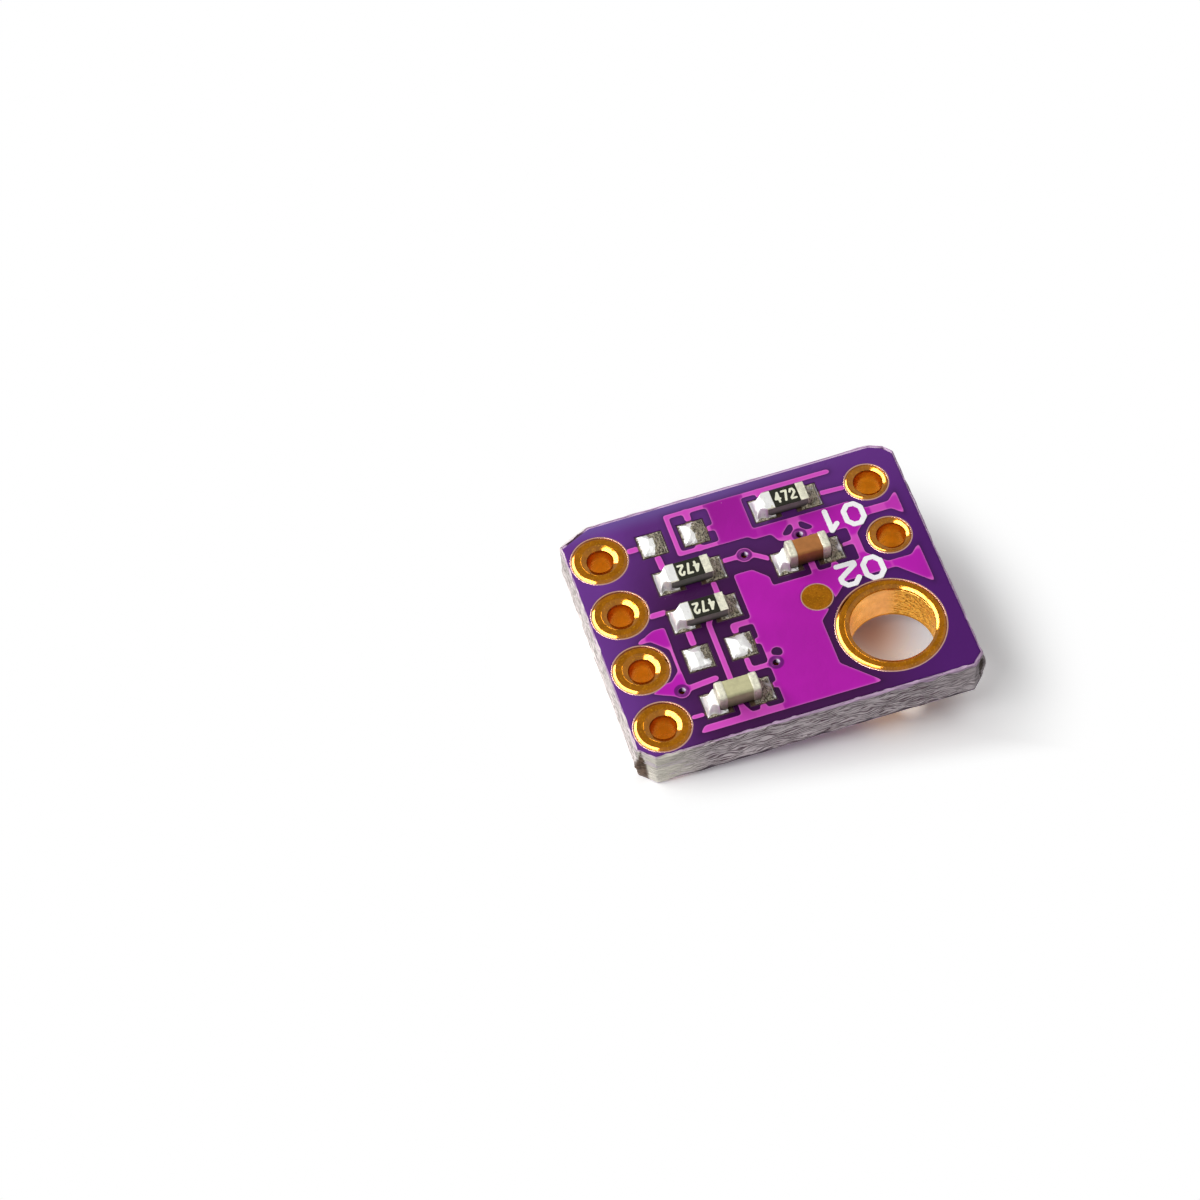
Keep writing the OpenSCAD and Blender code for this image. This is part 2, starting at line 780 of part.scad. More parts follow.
module solder_end(rise) {
    run = pad_span / 2 + pad_l / 2 - chip_l / 2;
    steps = 7;
    curve = [for (i = [0:steps]) [chip_l / 2 + run * i / steps, slope(i / steps, rise)]];
    foot = [chip_l / 2 - end_l, 0];
    intersection() {
        translate([0, pad_w, 0]) rotate([90, 0, 0]) linear_extrude(2 * pad_w)
            polygon(concat([foot, [curve[steps][0], 0]],
                [for (i = [steps:-1:0]) curve[i]],
                [[chip_l / 2, solder_t], [foot[0], solder_t]]));
        rotate([90, 0, 90]) linear_extrude(chip_l + pad_span)
            polygon([[-pad_w / 2, 0], [pad_w / 2, 0], [chip_w / 2, rise], [-chip_w / 2, rise]]);
    }
}

module chip_solder(spot, rise) {
    color([0.75, 0.75, 0.74]) place() translate([spot[0], spot[1], copper_top])
        for (side = [0, 1]) mirror([side, 0, 0]) solder_end(rise);
}

// Solder that has set as a cushion on a pad with no part
module solder_bead(spot) {
    half = norm([pad_l, pad_w]) / 2;
    r = (half * half + bead_t * bead_t) / (2 * bead_t);
    color([0.75, 0.75, 0.74]) place() translate([spot[0], spot[1], copper_top]) intersection() {
        linear_extrude(r) square([pad_l, pad_w], center = true);
        translate([0, 0, bead_t - r]) sphere(r = r, $fn = 96);
    }
}

// The sensor, seen from below the board

module at_sensor() place() translate([sensor[0], sensor[1], sensor_z]) mirror([0, 0, 1]) children();

module contact_metal() {
    for (side = [0, 1], i = [0:3]) mirror([side, 0, 0])
        translate([sensor_w / 2 - contact_l, (middle_row - i) * contact_pitch - contact_w / 2, 0])
            cube([contact_l, contact_w, contact_t]);
    translate([-paddle_w / 2, -paddle_l / 2, 0]) cube([paddle_w, paddle_l, contact_t]);
}

module sensor_contacts() {
    color([0.80, 0.55, 0.20]) at_sensor() contact_metal();
}

die_z = sensor_t - vent_depth - die_t;

module sensor_die() {
    color([0.25, 0.35, 0.30]) at_sensor()
        translate([-die_w / 2, -die_w / 2, die_z]) cube([die_w, die_w, die_t]);
}

module sensor_body() {
    color([0.10, 0.10, 0.11]) at_sensor() difference() {
        translate([-sensor_w / 2, -sensor_w / 2, 0]) cube([sensor_w, sensor_w, sensor_t]);
        contact_metal();
        translate([-die_w / 2, -die_w / 2, die_z]) cube([die_w, die_w, die_t]);
        translate([0, 0, sensor_t - vent_depth - eps])
            cylinder(d1 = vent_throat, d2 = vent_d, h = vent_depth + 2 * eps);
    }
}

module sensor_solder() {
    paddle_inset = 0.06;
    color([0.75, 0.75, 0.74]) place() translate([0, 0, sensor_z]) linear_extrude(solder_t) {
        for (side = [-1, 1], i = [0:3])
            translate(contact_spot(side, i)) square([contact_l, contact_w], center = true);
        translate(sensor) square([paddle_w - 2 * paddle_inset, paddle_l - 2 * paddle_inset], center = true);
    }
}

cream = [0.78, 0.77, 0.62];
tan_brown = [0.55, 0.33, 0.20];

laminate();
copper_front();
copper_back();
mask_front();
mask_back();
mounting_land();
header_pad(0);  // header_pad_1
header_pad(1);  // header_pad_2
header_pad(2);  // header_pad_3
header_pad(3);  // header_pad_4
option_pad(0);  // option_pad_1
option_pad(1);  // option_pad_2
vias();
plated_dot();
resistor_core(resistor_1);  // resistor_1_core
resistor_glaze(resistor_1);  // resistor_1_glaze
resistor_ends(resistor_1);  // resistor_1_ends
chip_solder(resistor_1, resistor_rise);  // resistor_1_solder
resistor_core(resistor_2);  // resistor_2_core
resistor_glaze(resistor_2);  // resistor_2_glaze
resistor_ends(resistor_2);  // resistor_2_ends
chip_solder(resistor_2, resistor_rise);  // resistor_2_solder
resistor_core(resistor_3);  // resistor_3_core
resistor_glaze(resistor_3);  // resistor_3_glaze
resistor_ends(resistor_3);  // resistor_3_ends
chip_solder(resistor_3, resistor_rise);  // resistor_3_solder
capacitor_body(capacitor_1, tan_brown);  // capacitor_1_body
capacitor_ends(capacitor_1);  // capacitor_1_ends
chip_solder(capacitor_1, capacitor_rise);  // capacitor_1_solder
capacitor_body(capacitor_2, cream);  // capacitor_2_body
capacitor_ends(capacitor_2);  // capacitor_2_ends
chip_solder(capacitor_2, capacitor_rise);  // capacitor_2_solder
solder_bead(pad_centre(empty_far, -1));  // solder_bead_1
solder_bead(pad_centre(empty_far, 1));  // solder_bead_2
solder_bead(pad_centre(empty_near, -1));  // solder_bead_3
solder_bead(pad_centre(empty_near, 1));  // solder_bead_4
sensor_body();
sensor_contacts();
sensor_die();
sensor_solder();
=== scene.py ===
import json
import math
from functools import cached_property

import bpy
import numpy as np
from bpy.props import FloatProperty, FloatVectorProperty, PointerProperty
from mathutils import Matrix, Quaternion, Vector, geometry, noise


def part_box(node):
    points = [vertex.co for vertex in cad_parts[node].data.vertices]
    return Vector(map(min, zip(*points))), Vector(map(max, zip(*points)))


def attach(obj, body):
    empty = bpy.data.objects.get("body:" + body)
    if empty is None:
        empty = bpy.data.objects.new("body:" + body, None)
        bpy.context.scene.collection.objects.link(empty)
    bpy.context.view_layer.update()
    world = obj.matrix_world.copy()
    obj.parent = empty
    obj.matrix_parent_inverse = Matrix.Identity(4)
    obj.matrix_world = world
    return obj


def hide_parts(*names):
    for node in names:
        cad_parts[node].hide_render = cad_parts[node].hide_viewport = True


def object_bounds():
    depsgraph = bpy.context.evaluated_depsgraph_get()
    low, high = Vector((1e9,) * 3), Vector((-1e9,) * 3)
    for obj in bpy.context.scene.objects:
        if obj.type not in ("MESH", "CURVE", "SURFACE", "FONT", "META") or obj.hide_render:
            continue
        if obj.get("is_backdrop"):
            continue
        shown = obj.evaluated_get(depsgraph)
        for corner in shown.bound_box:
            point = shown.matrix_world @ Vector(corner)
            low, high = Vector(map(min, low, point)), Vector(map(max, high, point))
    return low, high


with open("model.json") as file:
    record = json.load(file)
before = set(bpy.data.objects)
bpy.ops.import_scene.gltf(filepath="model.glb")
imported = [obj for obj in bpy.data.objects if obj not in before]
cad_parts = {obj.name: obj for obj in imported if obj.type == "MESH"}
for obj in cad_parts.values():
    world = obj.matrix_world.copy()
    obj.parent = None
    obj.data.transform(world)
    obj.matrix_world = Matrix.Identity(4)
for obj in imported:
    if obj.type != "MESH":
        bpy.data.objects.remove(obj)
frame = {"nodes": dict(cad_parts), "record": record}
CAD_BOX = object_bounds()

bl_info = {
    "name": "Humidity Sensor Module",
    "version": (1, 0, 0),
    "blender": (4, 5, 0),
    "location": "3D View > Sidebar > Sensor Module",
    "description": "Dresses a small plated circuit board: lacquer, plating, solder, chip parts and marks",
    "category": "Object",
}

# Lengths are millimetres in the board's own frame, unless a line says otherwise.
MM = 0.001

# The middle of the board's underside.
MIDDLE = (-3.85, 2.65, 0)

HEADER_PADS = [f"header_pad_{i}" for i in range(1, 5)]
OPTION_PADS = ["option_pad_1", "option_pad_2"]
CAPACITORS = ("capacitor_1", "capacitor_2")

# The figures on each resistor, and whether they read upside down.
RESISTORS = {
    "resistor_1": ("472", True),
    "resistor_2": ("472", True),
    "resistor_3": ("472", False),
}

# The figures beside each option pad, and their centre.
LABELS = {
    "label_far": ("01", (-0.18, 5.06)),
    "label_near": ("02", (-0.30, 2.56)),
}

# The lines that a pen draws for each figure, in a frame one wide and one tall.
STROKES = {
    "0": [[(0.3, 0), (0.7, 0), (1, 0.25), (1, 0.75), (0.7, 1), (0.3, 1), (0, 0.75), (0, 0.25), (0.3, 0)]],
    "1": [[(0.15, 0.72), (0.55, 1), (0.55, 0)]],
    "2": [[(0, 0.75), (0.3, 1), (0.75, 1), (1, 0.8), (1, 0.6), (0, 0.12), (0, 0), (1, 0)]],
    "4": [[(0.72, 1), (0, 0.34), (1, 0.34)], [(0.72, 1), (0.72, 0)]],
    "7": [[(0, 1), (1, 1), (0.4, 0)]],
}

# Lacquer that runs down a via: how far outside the bore, how far above the film, the
# distance to the foil's edge that sets its colour, and its share of the glint.
VIA_TURNS = 32
VIA_THROAT = (
    (0.02, -0.02, 0.2, 0), (0.02, -0.004, 0.2, 0), (0, -0.001, 0.05, 0.2), (-0.015, -0.008, 0, 0.9),
    (-0.03, -0.03, -0.03, 1), (-0.04, -0.08, -0.1, 1), (-0.042, -0.2, -0.1, 0.3), (-0.001, -0.2, -0.1, 0),
)

# The lacquer's hem on the edge of a land: how far outside the land, and how high.
HEM = ((0.07, 0.02), (0.055, 0.045), (0.015, 0.05), (0.001, 0.035))

# The board rests on its left end and leans: in its own frame the floor falls to the right.
FLOOR_SLOPE, LEFT_END = 0.137, -10.30

# Where the camera stands, what it looks at, and how far it is turned about its own line.
CAMERA_AT, CAMERA_AIM = Vector((-25.61, -70.563, 111.386)), Vector((-9.604, 4.563, 1.587))
CAMERA_ROLL = math.radians(-6.195)

# Each strip lamp: its way from the board, the way that its length runs, its length and
# width in metres, and its share of the brightness.
LAMP_AWAY = 220
LAMPS = {
    "near_strip": ((-0.588, -0.137, 0.798), (0.564, -0.79, 0.242), (0.165, 0.031), 0.95),
    "far_strip": ((-0.660, 0.573, 0.486), (-0.343, -0.791, 0.507), (0.205, 0.030), 0.92),
}


# Materials


class Wire:
    """A value inside a material. Each sign between two of them adds a Math node."""

    def __init__(self, recipe, socket):
        self.recipe, self.socket = recipe, socket

    def __add__(self, other):
        return self.recipe.maths("ADD", self, other)

    def __mul__(self, other):
        return self.recipe.maths("MULTIPLY", self, other)

    def __sub__(self, other):
        return self.recipe.maths("SUBTRACT", self, other)

    def __rsub__(self, other):
        return self.recipe.maths("SUBTRACT", other, self)

    def __abs__(self):
        return self.recipe.maths("ABSOLUTE", self)

    __radd__, __rmul__ = __add__, __mul__

    def at_least(self, other):
        return self.recipe.maths("MAXIMUM", self, other)

    def at_most(self, other):
        return self.recipe.maths("MINIMUM", self, other)

    def fading(self, reach):
        """1 where the value is 0, falling by the usual factor over each reach."""
        return self.recipe.maths("EXPONENT", self * (-1 / reach))

    def between(self, low, high):
        """0 at low, 1 at high, and a smooth rise from one to the other."""
        return self.recipe.node("ShaderNodeMapRange", {"interpolation_type": "SMOOTHSTEP"}, {
            "Value": self, 1: low, 2: high})


class Recipe:
    """The nodes of one material or world."""

    def __init__(self, name, blocks="materials"):
        self.block = getattr(bpy.data, blocks).new(name)
        self.block.use_nodes = True
        self.tree = self.block.node_tree
        self.tree.nodes.clear()

    def node(self, kind, settings=None, values=None, output=0):
        """Adds a node: its settings first, then the value or the link of each named socket.
        Hands back one of its outputs."""
        node = self.tree.nodes.new(kind)
        for key, value in (settings or {}).items():
            setattr(node, key, value)
        for key, value in (values or {}).items():
            if isinstance(value, Wire):
                self.tree.links.new(value.socket, node.inputs[key])
            else:
                node.inputs[key].default_value = value
        return Wire(self, node.outputs[output]) if node.outputs else None

    def maths(self, operation, *terms):
        return self.node("ShaderNodeMath", {"operation": operation}, dict(enumerate(terms)))

    def vector(self, operation, *terms, output=0, **values):
        named = dict(enumerate(terms)) | values
        return self.node("ShaderNodeVectorMath", {"operation": operation}, named, output)

    @cached_property
    def place(self):
        metres = self.node("ShaderNodeTexCoord", output="Object")
        return self.vector("SCALE", metres, Scale=1 / MM)

    def axis(self, letter, place=None):
        return self.node("ShaderNodeSeparateXYZ", None, {0: place or self.place}, letter)

    def away(self, spot):
        """The distance from a spot."""
        return self.vector("DISTANCE", self.place, spot, output="Value")

    def attribute(self, name, output="Fac"):
        return self.node("ShaderNodeAttribute", {"attribute_name": name}, output=output)

    def grain(self, scale, detail=2.0, rough=0.5, stretch=(1, 1, 1), spot=(0, 0, 0), place=None):
        """Cloudy noise from 0 to 1, with about scale cells to the millimetre."""
        place = self.vector("ADD", self.vector("MULTIPLY", place or self.place, stretch), spot)
        return self.node("ShaderNodeTexNoise", None, {
            "Vector": place, "Scale": scale, "Detail": detail, "Roughness": rough}, "Fac")

    def cells(self, scale):
        """The distance from the nearest of many scattered points, in cells."""
        return self.node("ShaderNodeTexVoronoi", None, {"Vector": self.place, "Scale": scale}, "Distance")

    def mix(self, share, first, second):
        """The first colour where the share is 0, and the second where it is 1."""
        first, second = (c if isinstance(c, Wire) else (*c, 1.0) for c in (first, second))
        return self.node("ShaderNodeMix", {"data_type": "RGBA"}, {0: share, 6: first, 7: second}, 2)

    def coats(self, colour, *coats):
        """A colour with others laid over it in turn, each by its own share."""
        for share, coat in coats:
            colour = self.mix(share, colour, coat)
        return colour

    def seen(self):
        """1 for what the camera, a mirror or glass looks at, and 0 for light that falls."""
        camera, glossy, clear = (
            self.node("ShaderNodeLightPath", output=f"Is {way} Ray")
            for way in ("Camera", "Glossy", "Transmission"))
        return camera + glossy + clear

    def relief(self, height, depth):
        """A Bump node whose height of 1 stands depth millimetres proud."""
        return self.node("ShaderNodeBump", None, {"Height": height, "Distance": depth * MM})

    def finish(self, base, roughness, **values):
        """The one surface shader, with its base colour, roughness and whatever else is named."""
        sockets = {"Base Color": base, "Roughness": roughness}
        sockets |= {key.replace("_", " "): value for key, value in values.items()}
        return self.closed(self.node("ShaderNodeBsdfPrincipled", None, sockets))

    def closed(self, last, kind="Material"):
        """Ends the tree in its output and hands back the finished material or world."""
        self.node(f"ShaderNodeOutput{kind}", None, {"Surface": last})
        return self.block


def toned(colour, share):
    """A colour made darker or lighter."""
    return tuple(share * value for value in colour)


def lacquer_finish(style):
    r = Recipe("purple_lacquer")
    depth, broad, via = (r.attribute(name) for name in ("copper_mm", "broad_mm", "via_mm"))
    cloud = r.grain(0.35, 3.0)
    x, y = r.axis("X"), r.axis("Y")
    # Painted reflection: the bare lacquer is lighter and bluer towards the left and far edges, most of all
    # along the far edge.
    edge_reflection = (x.between(-7.0, -10.6) + y.between(3.0, 8.4) * 0.75).at_most(1.0)
    far = y.between(7.0, 7.85) * x.between(2.0, -6.0)
    # Painted shade on the bare lacquer at the foot of the foil's step.
    step_shade = (0.0 - depth).at_least(0.0).fading(0.09)
    # A painted highlight: the lacquer over the foil is pinker along its edges.
    edge = depth.at_least(0.0).fading(0.022)
    speck = r.cells(2.2).between(0.05, 0.02) * r.grain(0.9, 1.0, spot=(7, 3, 1)).between(0.55, 0.62)
    bare = r.coats(
        style.bare,
        (x.between(-2.5, 1.5), style.bare_right),
        (edge_reflection, style.rim_reflection),
        (far * 0.55, style.far_reflection),
        (step_shade * 0.5, toned(style.bare, 0.5)))
    covered = r.coats(
        toned(style.covered, 0.92),
        (cloud.between(0.35, 0.7), toned(style.covered, 1.08)),
        (y.between(4.3, 7.0) * 0.5, toned(style.covered, 0.4)),
        (broad.between(0.20, 0.14), style.track),
        (via.between(0.31, 0.26), style.over_via),
        (edge * 0.6, style.edge))
    base = r.coats(
        bare,
        (depth.between(-0.012, 0.01), covered),
        (speck * 0.7, (0.75, 0.45, 0.7)),
        (r.attribute("glint"), (0.9, 0.8, 0.95)))
    wave = r.grain(1.3) + r.grain(9.0) * 0.12
    return r.finish(
        base, 0.24 + cloud * 0.1, Normal=r.relief(wave, 0.03), IOR=1.5, Specular_IOR_Level=style.sheen)


def gold_finish(name, style, wall, scratch=0.0):
    """Gold plate, polished on its slopes, with the colour of a drilled wall inside the hole."""
    r = Recipe(name)
    stain, fine = r.grain(2.6, 4.0, 0.65), r.grain(15.0, 3.0, 0.7)
    z, polish = r.axis("Z"), r.attribute("polish")
    drilled = z.between(1.6, 1.5) * z.between(0.0, 0.1)
    base = r.coats(
        style.gold,
        (stain.between(0.38, 0.62), style.gold_dark),
        (fine.between(0.54, 0.68) * 0.6, (0.68, 0.31, 0.012)),
        (r.attribute("rim"), style.gold_rim),
        (drilled, r.mix(stain.between(0.3, 0.65), wall, toned(wall, 0.8))))
    height = stain * 0.6 + fine * 0.2
    if scratch:
        lines = r.grain(2.6, 2.0, 0.55, stretch=(1, 1, 2.2), spot=(2, 9, 4))
        # On the right of the wall the plate is painted brighter, a painted highlight where the light falls.
        # It is scratched there too, with darker lines along the scratches.
        scratched_lit_side = drilled * r.axis("X").between(0.2, 0.9)
        groove = abs(lines - 0.5).between(0.035, 0.005) * scratched_lit_side
        base = r.coats(base, (scratched_lit_side * 0.7, (0.95, 0.55, 0.07)), (groove * 0.9, (0.16, 0.06, 0.004)))
        height = height + lines * scratched_lit_side * scratch
    return r.finish(
        base, 0.15 + fine * 0.12 - polish * 0.08, Metallic=1.0 - drilled * 0.3,
        Normal=r.relief(height * (1.0 - polish * 0.8), 0.03),
        Coat_Weight=polish * 0.45, Coat_Roughness=0.06, Specular_IOR_Level=0.1,
        Specular_Tint=(1.0, 0.7, 0.3, 1.0))


def solder_finish(style):
    """Clean solder is smooth and bright. Where the solder is grainy, with fine ridges, it is also painted
    dark: painted shade on the side away from the lamps.
    """
    r = Recipe("bright_solder")
    patch, dust = r.grain(5.0, 3.0, 0.6), r.grain(16.0, 4.0, 0.75)
    ridge = r.grain(7.0, 3.0, 0.6, stretch=(2.2, 0.8, 1), spot=(3, 1, 2))
    dull_and_shaded = (r.attribute("dull_and_shaded") + (dust - 0.5) * 0.9).between(0.35, 0.65)
    mark = dust * 0.6 + ridge * 0.4
    dark = r.coats(
        toned(style.solder_dark, 0.12),
        (mark.between(0.42, 0.54), style.solder_dark),
        (dust.between(0.58, 0.68), toned(style.solder, 0.9)))
    base = r.coats(
        toned(style.solder, 0.9),
        (patch, style.solder),
        (mark.between(0.57, 0.64) * 0.55, toned(style.solder, 0.35)),
        (dull_and_shaded, dark))
    return r.finish(
        base, 0.3 + dull_and_shaded * 0.2, Metallic=0.6,
        Normal=r.relief((dust + ridge) * (dull_and_shaded * 0.75 + 0.25), 0.05))


def copper_finish():
    r = Recipe("bare_copper")
    stain = r.grain(4.0, 4.0, 0.6)
    base = r.mix(stain.between(0.3, 0.7), (0.30, 0.2, 0.13), (0.1, 0.06, 0.04))
    return r.finish(base, 0.35 + stain * 0.2, Metallic=1.0, Normal=r.relief(stain, 0.01))


def laminate_finish(style):
    """Pale glass and resin, darker where it shows in the lacquer's openings."""
    r = Recipe("glass_laminate")
    weave, z = r.grain(6.0, 3.0, 0.6), r.axis("Z")
    skin = z.between(1.55, 1.6) + z.between(0.05, 0.0)
    darker_in_openings = skin
    for letter, low, high in zip("XY", *box_mm("laminate")):
        across = r.axis(letter)
        darker_in_openings = darker_in_openings * across.between(low + 0.2, low + 0.3) * across.between(high - 0.2, high - 0.3)
    base = r.coats(
        toned(style.glass, 0.8),
        (weave, style.glass),
        (skin, style.rim),
        (darker_in_openings, (0.09, 0.035, 0.075)))
    return r.finish(base, 0.6 + weave * 0.2, Normal=r.relief(weave, 0.02))


def broken_finish(style):
    """The torn glass wall: thin dark lines between strands, in slanting bundles."""
    r = Recipe("broken_glass_edge")
    wall = r.attribute("wall_mm", "Vector")
    height, x = r.axis("Y", wall), r.axis("X")
    sway = r.grain(1.0, stretch=(1.5, 1.8, 1), place=wall)
    bent = r.vector("ADD", wall, r.vector("SCALE", (0, 1, 0), Scale=sway * 0.25))
    slant = r.vector("ADD", wall, r.vector("SCALE", (1, 0, 0), Scale=height * 0.9))
    weave = r.grain(1.0, 1.0, stretch=(1.2, 1.8, 1), spot=(4, 4, 0), place=wall)
    lines = r.maths("SINE", (height * 8.5 + weave * 4.0) * (2 * math.pi)).between(-0.7, 0.5)
    more = r.grain(1.0, 1.0, stretch=(2.2, 30.0, 1), spot=(9, 2, 0), place=bent).between(0.4, 0.55)
    bundles = r.grain(1.0, stretch=(1.4, 2.2, 1), spot=(5, 1, 0), place=slant)
    tone = lines * 0.46 + more * 0.38 + bundles.between(0.4, 0.58) * 0.16
    # Towards the left end the glass is yellowed and plainer, and it is also painted lighter: painted light
    # where the lamps fall on the left end and its cut corner.
    lit_clean_end = x.between(-7.5, -9.6) * 0.96 - x.between(-10.24, -10.32) * 0.6
    band = (height + (sway - 0.5) * 0.2 + x.between(-9.0, 0.5) * 0.13).between(1.58, 1.63)
    line = (height + (sway - 0.5) * 0.15).between(0.13, 0.07) * x.between(-9.6, -8.6)
    stain = r.grain(7.0, 3.0, 0.6, stretch=(1, 1, 2))
    burnt = r.coats(
        toned(style.scorch, 0.55),
        (stain.between(0.35, 0.65), toned(style.scorch, 1.5)),
        (x.between(-3.0, 0.0), toned(style.scorch, 0.3)))
    base = r.coats(
        style.glass_dark,
        (tone.between(0.08, 0.9), style.glass),
        (lit_clean_end, style.glass_warm),
        (x.between(0.0, 2.2) * 0.4, style.glass),
        (band * (x.between(-10.2, -6.0) * 0.5 + 0.5), style.rim),
        (line * 0.9, (0.03, 0.012, 0.03)),
        (r.attribute("scorch"), burnt))
    return r.finish(
        base, 0.55 + bundles * 0.3, Normal=r.relief(tone, 0.04), Specular_IOR_Level=0.3)


def ceramic_finish(name, tone, low=0.85, rough=0.45, lift=0.012, sheen=0.3, shade_heights=None):
    """A fired or moulded surface. Given two shade heights, it darkens downwards between them: painted shade.
    """
    r = Recipe(name)
    cloud, fine = r.grain(4.0, 3.0, 0.6), r.grain(30.0, 2.0, 0.6)
    base = r.coats(
        tone,
        (cloud.between(0.3, 0.7), toned(tone, low)),
        (fine.between(0.55, 0.8) * 0.3, toned(tone, 0.7)))
    if shade_heights:
        base = r.mix(r.axis("Z").between(*shade_heights), toned(tone, 0.1), base)
    return r.finish(
        base, rough + cloud * 0.15, Normal=r.relief(cloud + fine * 0.4, lift), Specular_IOR_Level=sheen)


def tinned_finish(name, style, shade_heights):
    """The metal ends: tin above, and darker towards the pads, which is painted shade."""
    r = Recipe(name)
    cloud, fine = r.grain(6.0, 3.0, 0.6), r.grain(26.0, 3.0, 0.7)
    bright = r.coats(
        style.tin,
        (cloud.between(0.3, 0.7), toned(style.tin, 0.75)),
        (fine.between(0.55, 0.7) * 0.4, toned(style.tin, 0.45)))
    dull_and_shaded = r.mix(fine.between(0.4, 0.6), toned(style.solder_dark, 0.2), toned(style.solder_dark, 0.8))
    base = r.mix((r.axis("Z") + cloud * 0.15).between(*shade_heights), dull_and_shaded, bright)
    return r.finish(
        base, 0.35 + cloud * 0.2, Metallic=0.5, Normal=r.relief(cloud + fine * 0.7, 0.03))


def paper_finish():
    """White paper that keeps the shadow and the light that the plating throws down, is plain
    white far off, and is clear from below."""
    r = Recipe("white_paper")
    black, white, seen = (0, 0, 0), (1, 1, 1), r.seen()
    # Painted shade and light on the paper: warm is a painted warm shade seen through the mounting hole, close
    # is a painted shadow along the near wall, and thrown and patch are painted light that the plating throws
    # down.
    warm = r.away((-0.3, 2.2, -1.4)).between(2.4, 0.2)
    thrown = r.away((-0.9, -1.8, -1.29)).between(1.5, 0.2)
    patch = r.away((0.1, -1.5, -1.42)).between(0.8, 0.25)
    x, y = r.axis("X"), r.axis("Y")
    ahead = y + x * 0.07
    close = ahead.between(-3.4, -2.2) * y.between(0.0, -1.0) * x.between(2.4, 1.0) * x.between(-11.0, -9.0)
    level = 0.2 - warm * 0.15 - close * 0.15 + thrown * 0.1 + patch * 0.32
    mirror = r.node("ShaderNodeLightPath", output="Is Glossy Ray")
    tint = r.coats(white, (thrown, (1.0, 0.68, 0.45)), (patch, (1.0, 0.93, 0.86)))
    paper = r.node("ShaderNodeBsdfDiffuse", None, {
        "Color": r.mix(warm, (0.95, 0.95, 0.95), (0.95, 0.54, 0.29))})
    lift = r.node("ShaderNodeEmission", None, {"Color": r.mix(seen * level + mirror * 0.5, black, tint)})
    near = r.node("ShaderNodeAddShader", None, {0: paper, 1: lift})
    glow = r.node("ShaderNodeEmission", None, {"Color": r.mix(seen, black, white)})
    fade = r.away((-3.4, 1.2, 0)).between(7.2, 11.2).at_least(ahead.between(-3.2, -4.7) * seen)
    above = r.node("ShaderNodeMixShader", None, {0: fade, 1: near, 2: glow})
    below = r.node("ShaderNodeNewGeometry", output="Backfacing")
    clear = r.node("ShaderNodeBsdfTransparent")
    return r.closed(r.node("ShaderNodeMixShader", None, {0: below, 1: above, 2: clear}))


def room_light(sky):
    """A room that is white to look at, and lights the board at a level of its own."""
    r = Recipe("room", "worlds")
    level = sky + r.seen() * (1 - sky)
    return r.closed(r.node("ShaderNodeBackground", None, {"Strength": level}), "World")


# Plan shapes


def box_mm(node):
    """A CAD node's lowest and highest corners."""
    return tuple(np.array(corner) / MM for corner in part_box(node))


def welded(node):
    """A CAD node's points and its triangles, with equal points made one."""
    mesh = frame["nodes"][node].data
    places = np.empty(len(mesh.vertices) * 3, np.float32)
    mesh.vertices.foreach_get("co", places)
    mesh.calc_loop_triangles()
    corners = np.empty(len(mesh.loop_triangles) * 3, np.int32)
    mesh.loop_triangles.foreach_get("vertices", corners)
    points, found = np.unique(np.round(places.reshape(-1, 3) / MM, 3), axis=0, return_inverse=True)
    return points, found.reshape(-1)[corners].reshape(-1, 3)


def border_edges(triangles):
    """The edges that only one of the triangles has, each in its triangle's direction."""
    edges = np.concatenate([triangles[:, [0, 1]], triangles[:, [1, 2]], triangles[:, [2, 0]]])
    _, place, count = np.unique(np.sort(edges, axis=1), axis=0, return_inverse=True, return_counts=True)
    return edges[count[place.reshape(-1)] == 1]


def level_rims(points, triangles, height):
    """The rims of the flat faces at one height, as pairs of plan points."""
    flat = np.all(np.abs(points[triangles][:, :, 2] - height) < 0.002, axis=1)
    return points[border_edges(triangles[flat])][:, :, :2]


def outer_loop(rims):
    """The widest closed line among the rims, as points in order."""
    after = {tuple(a): tuple(b) for a, b in np.round(rims, 3)}
    loops = []
    while after:
        start = next(iter(after))
        loop = [start]
        spot = after.pop(start)
        while spot != start:
            loop.append(spot)
            spot = after.pop(spot)
        loops.append(np.array(loop))
    return max(loops, key=lambda loop: np.ptp(loop[:, 0]))


def walked(corners, pace):
    """Even steps round a closed line: how far along, where, and which way is out."""
    run = away(np.roll(corners, -1, axis=0), corners)
    knots = np.concatenate([[0], np.cumsum(run)])
    along = np.linspace(0, knots[-1], int(knots[-1] / pace), endpoint=False)
    ring = np.concatenate([corners, corners[:1]])
    path = np.stack([np.interp(along, knots, ring[:, axis]) for axis in (0, 1)], -1)
    ahead = np.roll(path, -1, axis=0) - np.roll(path, 1, axis=0)
    ahead /= np.hypot(*ahead.T)[:, None]
    return along, path, np.stack([ahead[:, 1], -ahead[:, 0]], -1)


def inside(spots, rims):
    """Which plan points lie within closed rims, by counting the rims crossed."""
    x, y = spots.T
    found = np.zeros(len(spots), bool)
    for (ax, ay), (bx, by) in rims:
        if ay != by:
            found ^= ((ay > y) != (by > y)) & (x < (bx - ax) * (y - ay) / (by - ay) + ax)
    return found


def away(spots, centre):
    """Each plan point's distance from a centre."""
    return np.hypot(*(spots - centre).T)


def nearest(spots, rims):
    """Each plan point's distance from the nearest rim."""
    best = np.full(len(spots), 99.0)
    for start, end in rims:
        run = end - start
        share = np.clip((spots - start) @ run / max(run @ run, 1e-12), 0, 1)
        best = np.minimum(best, away(spots - start, share[:, None] * run))
    return best


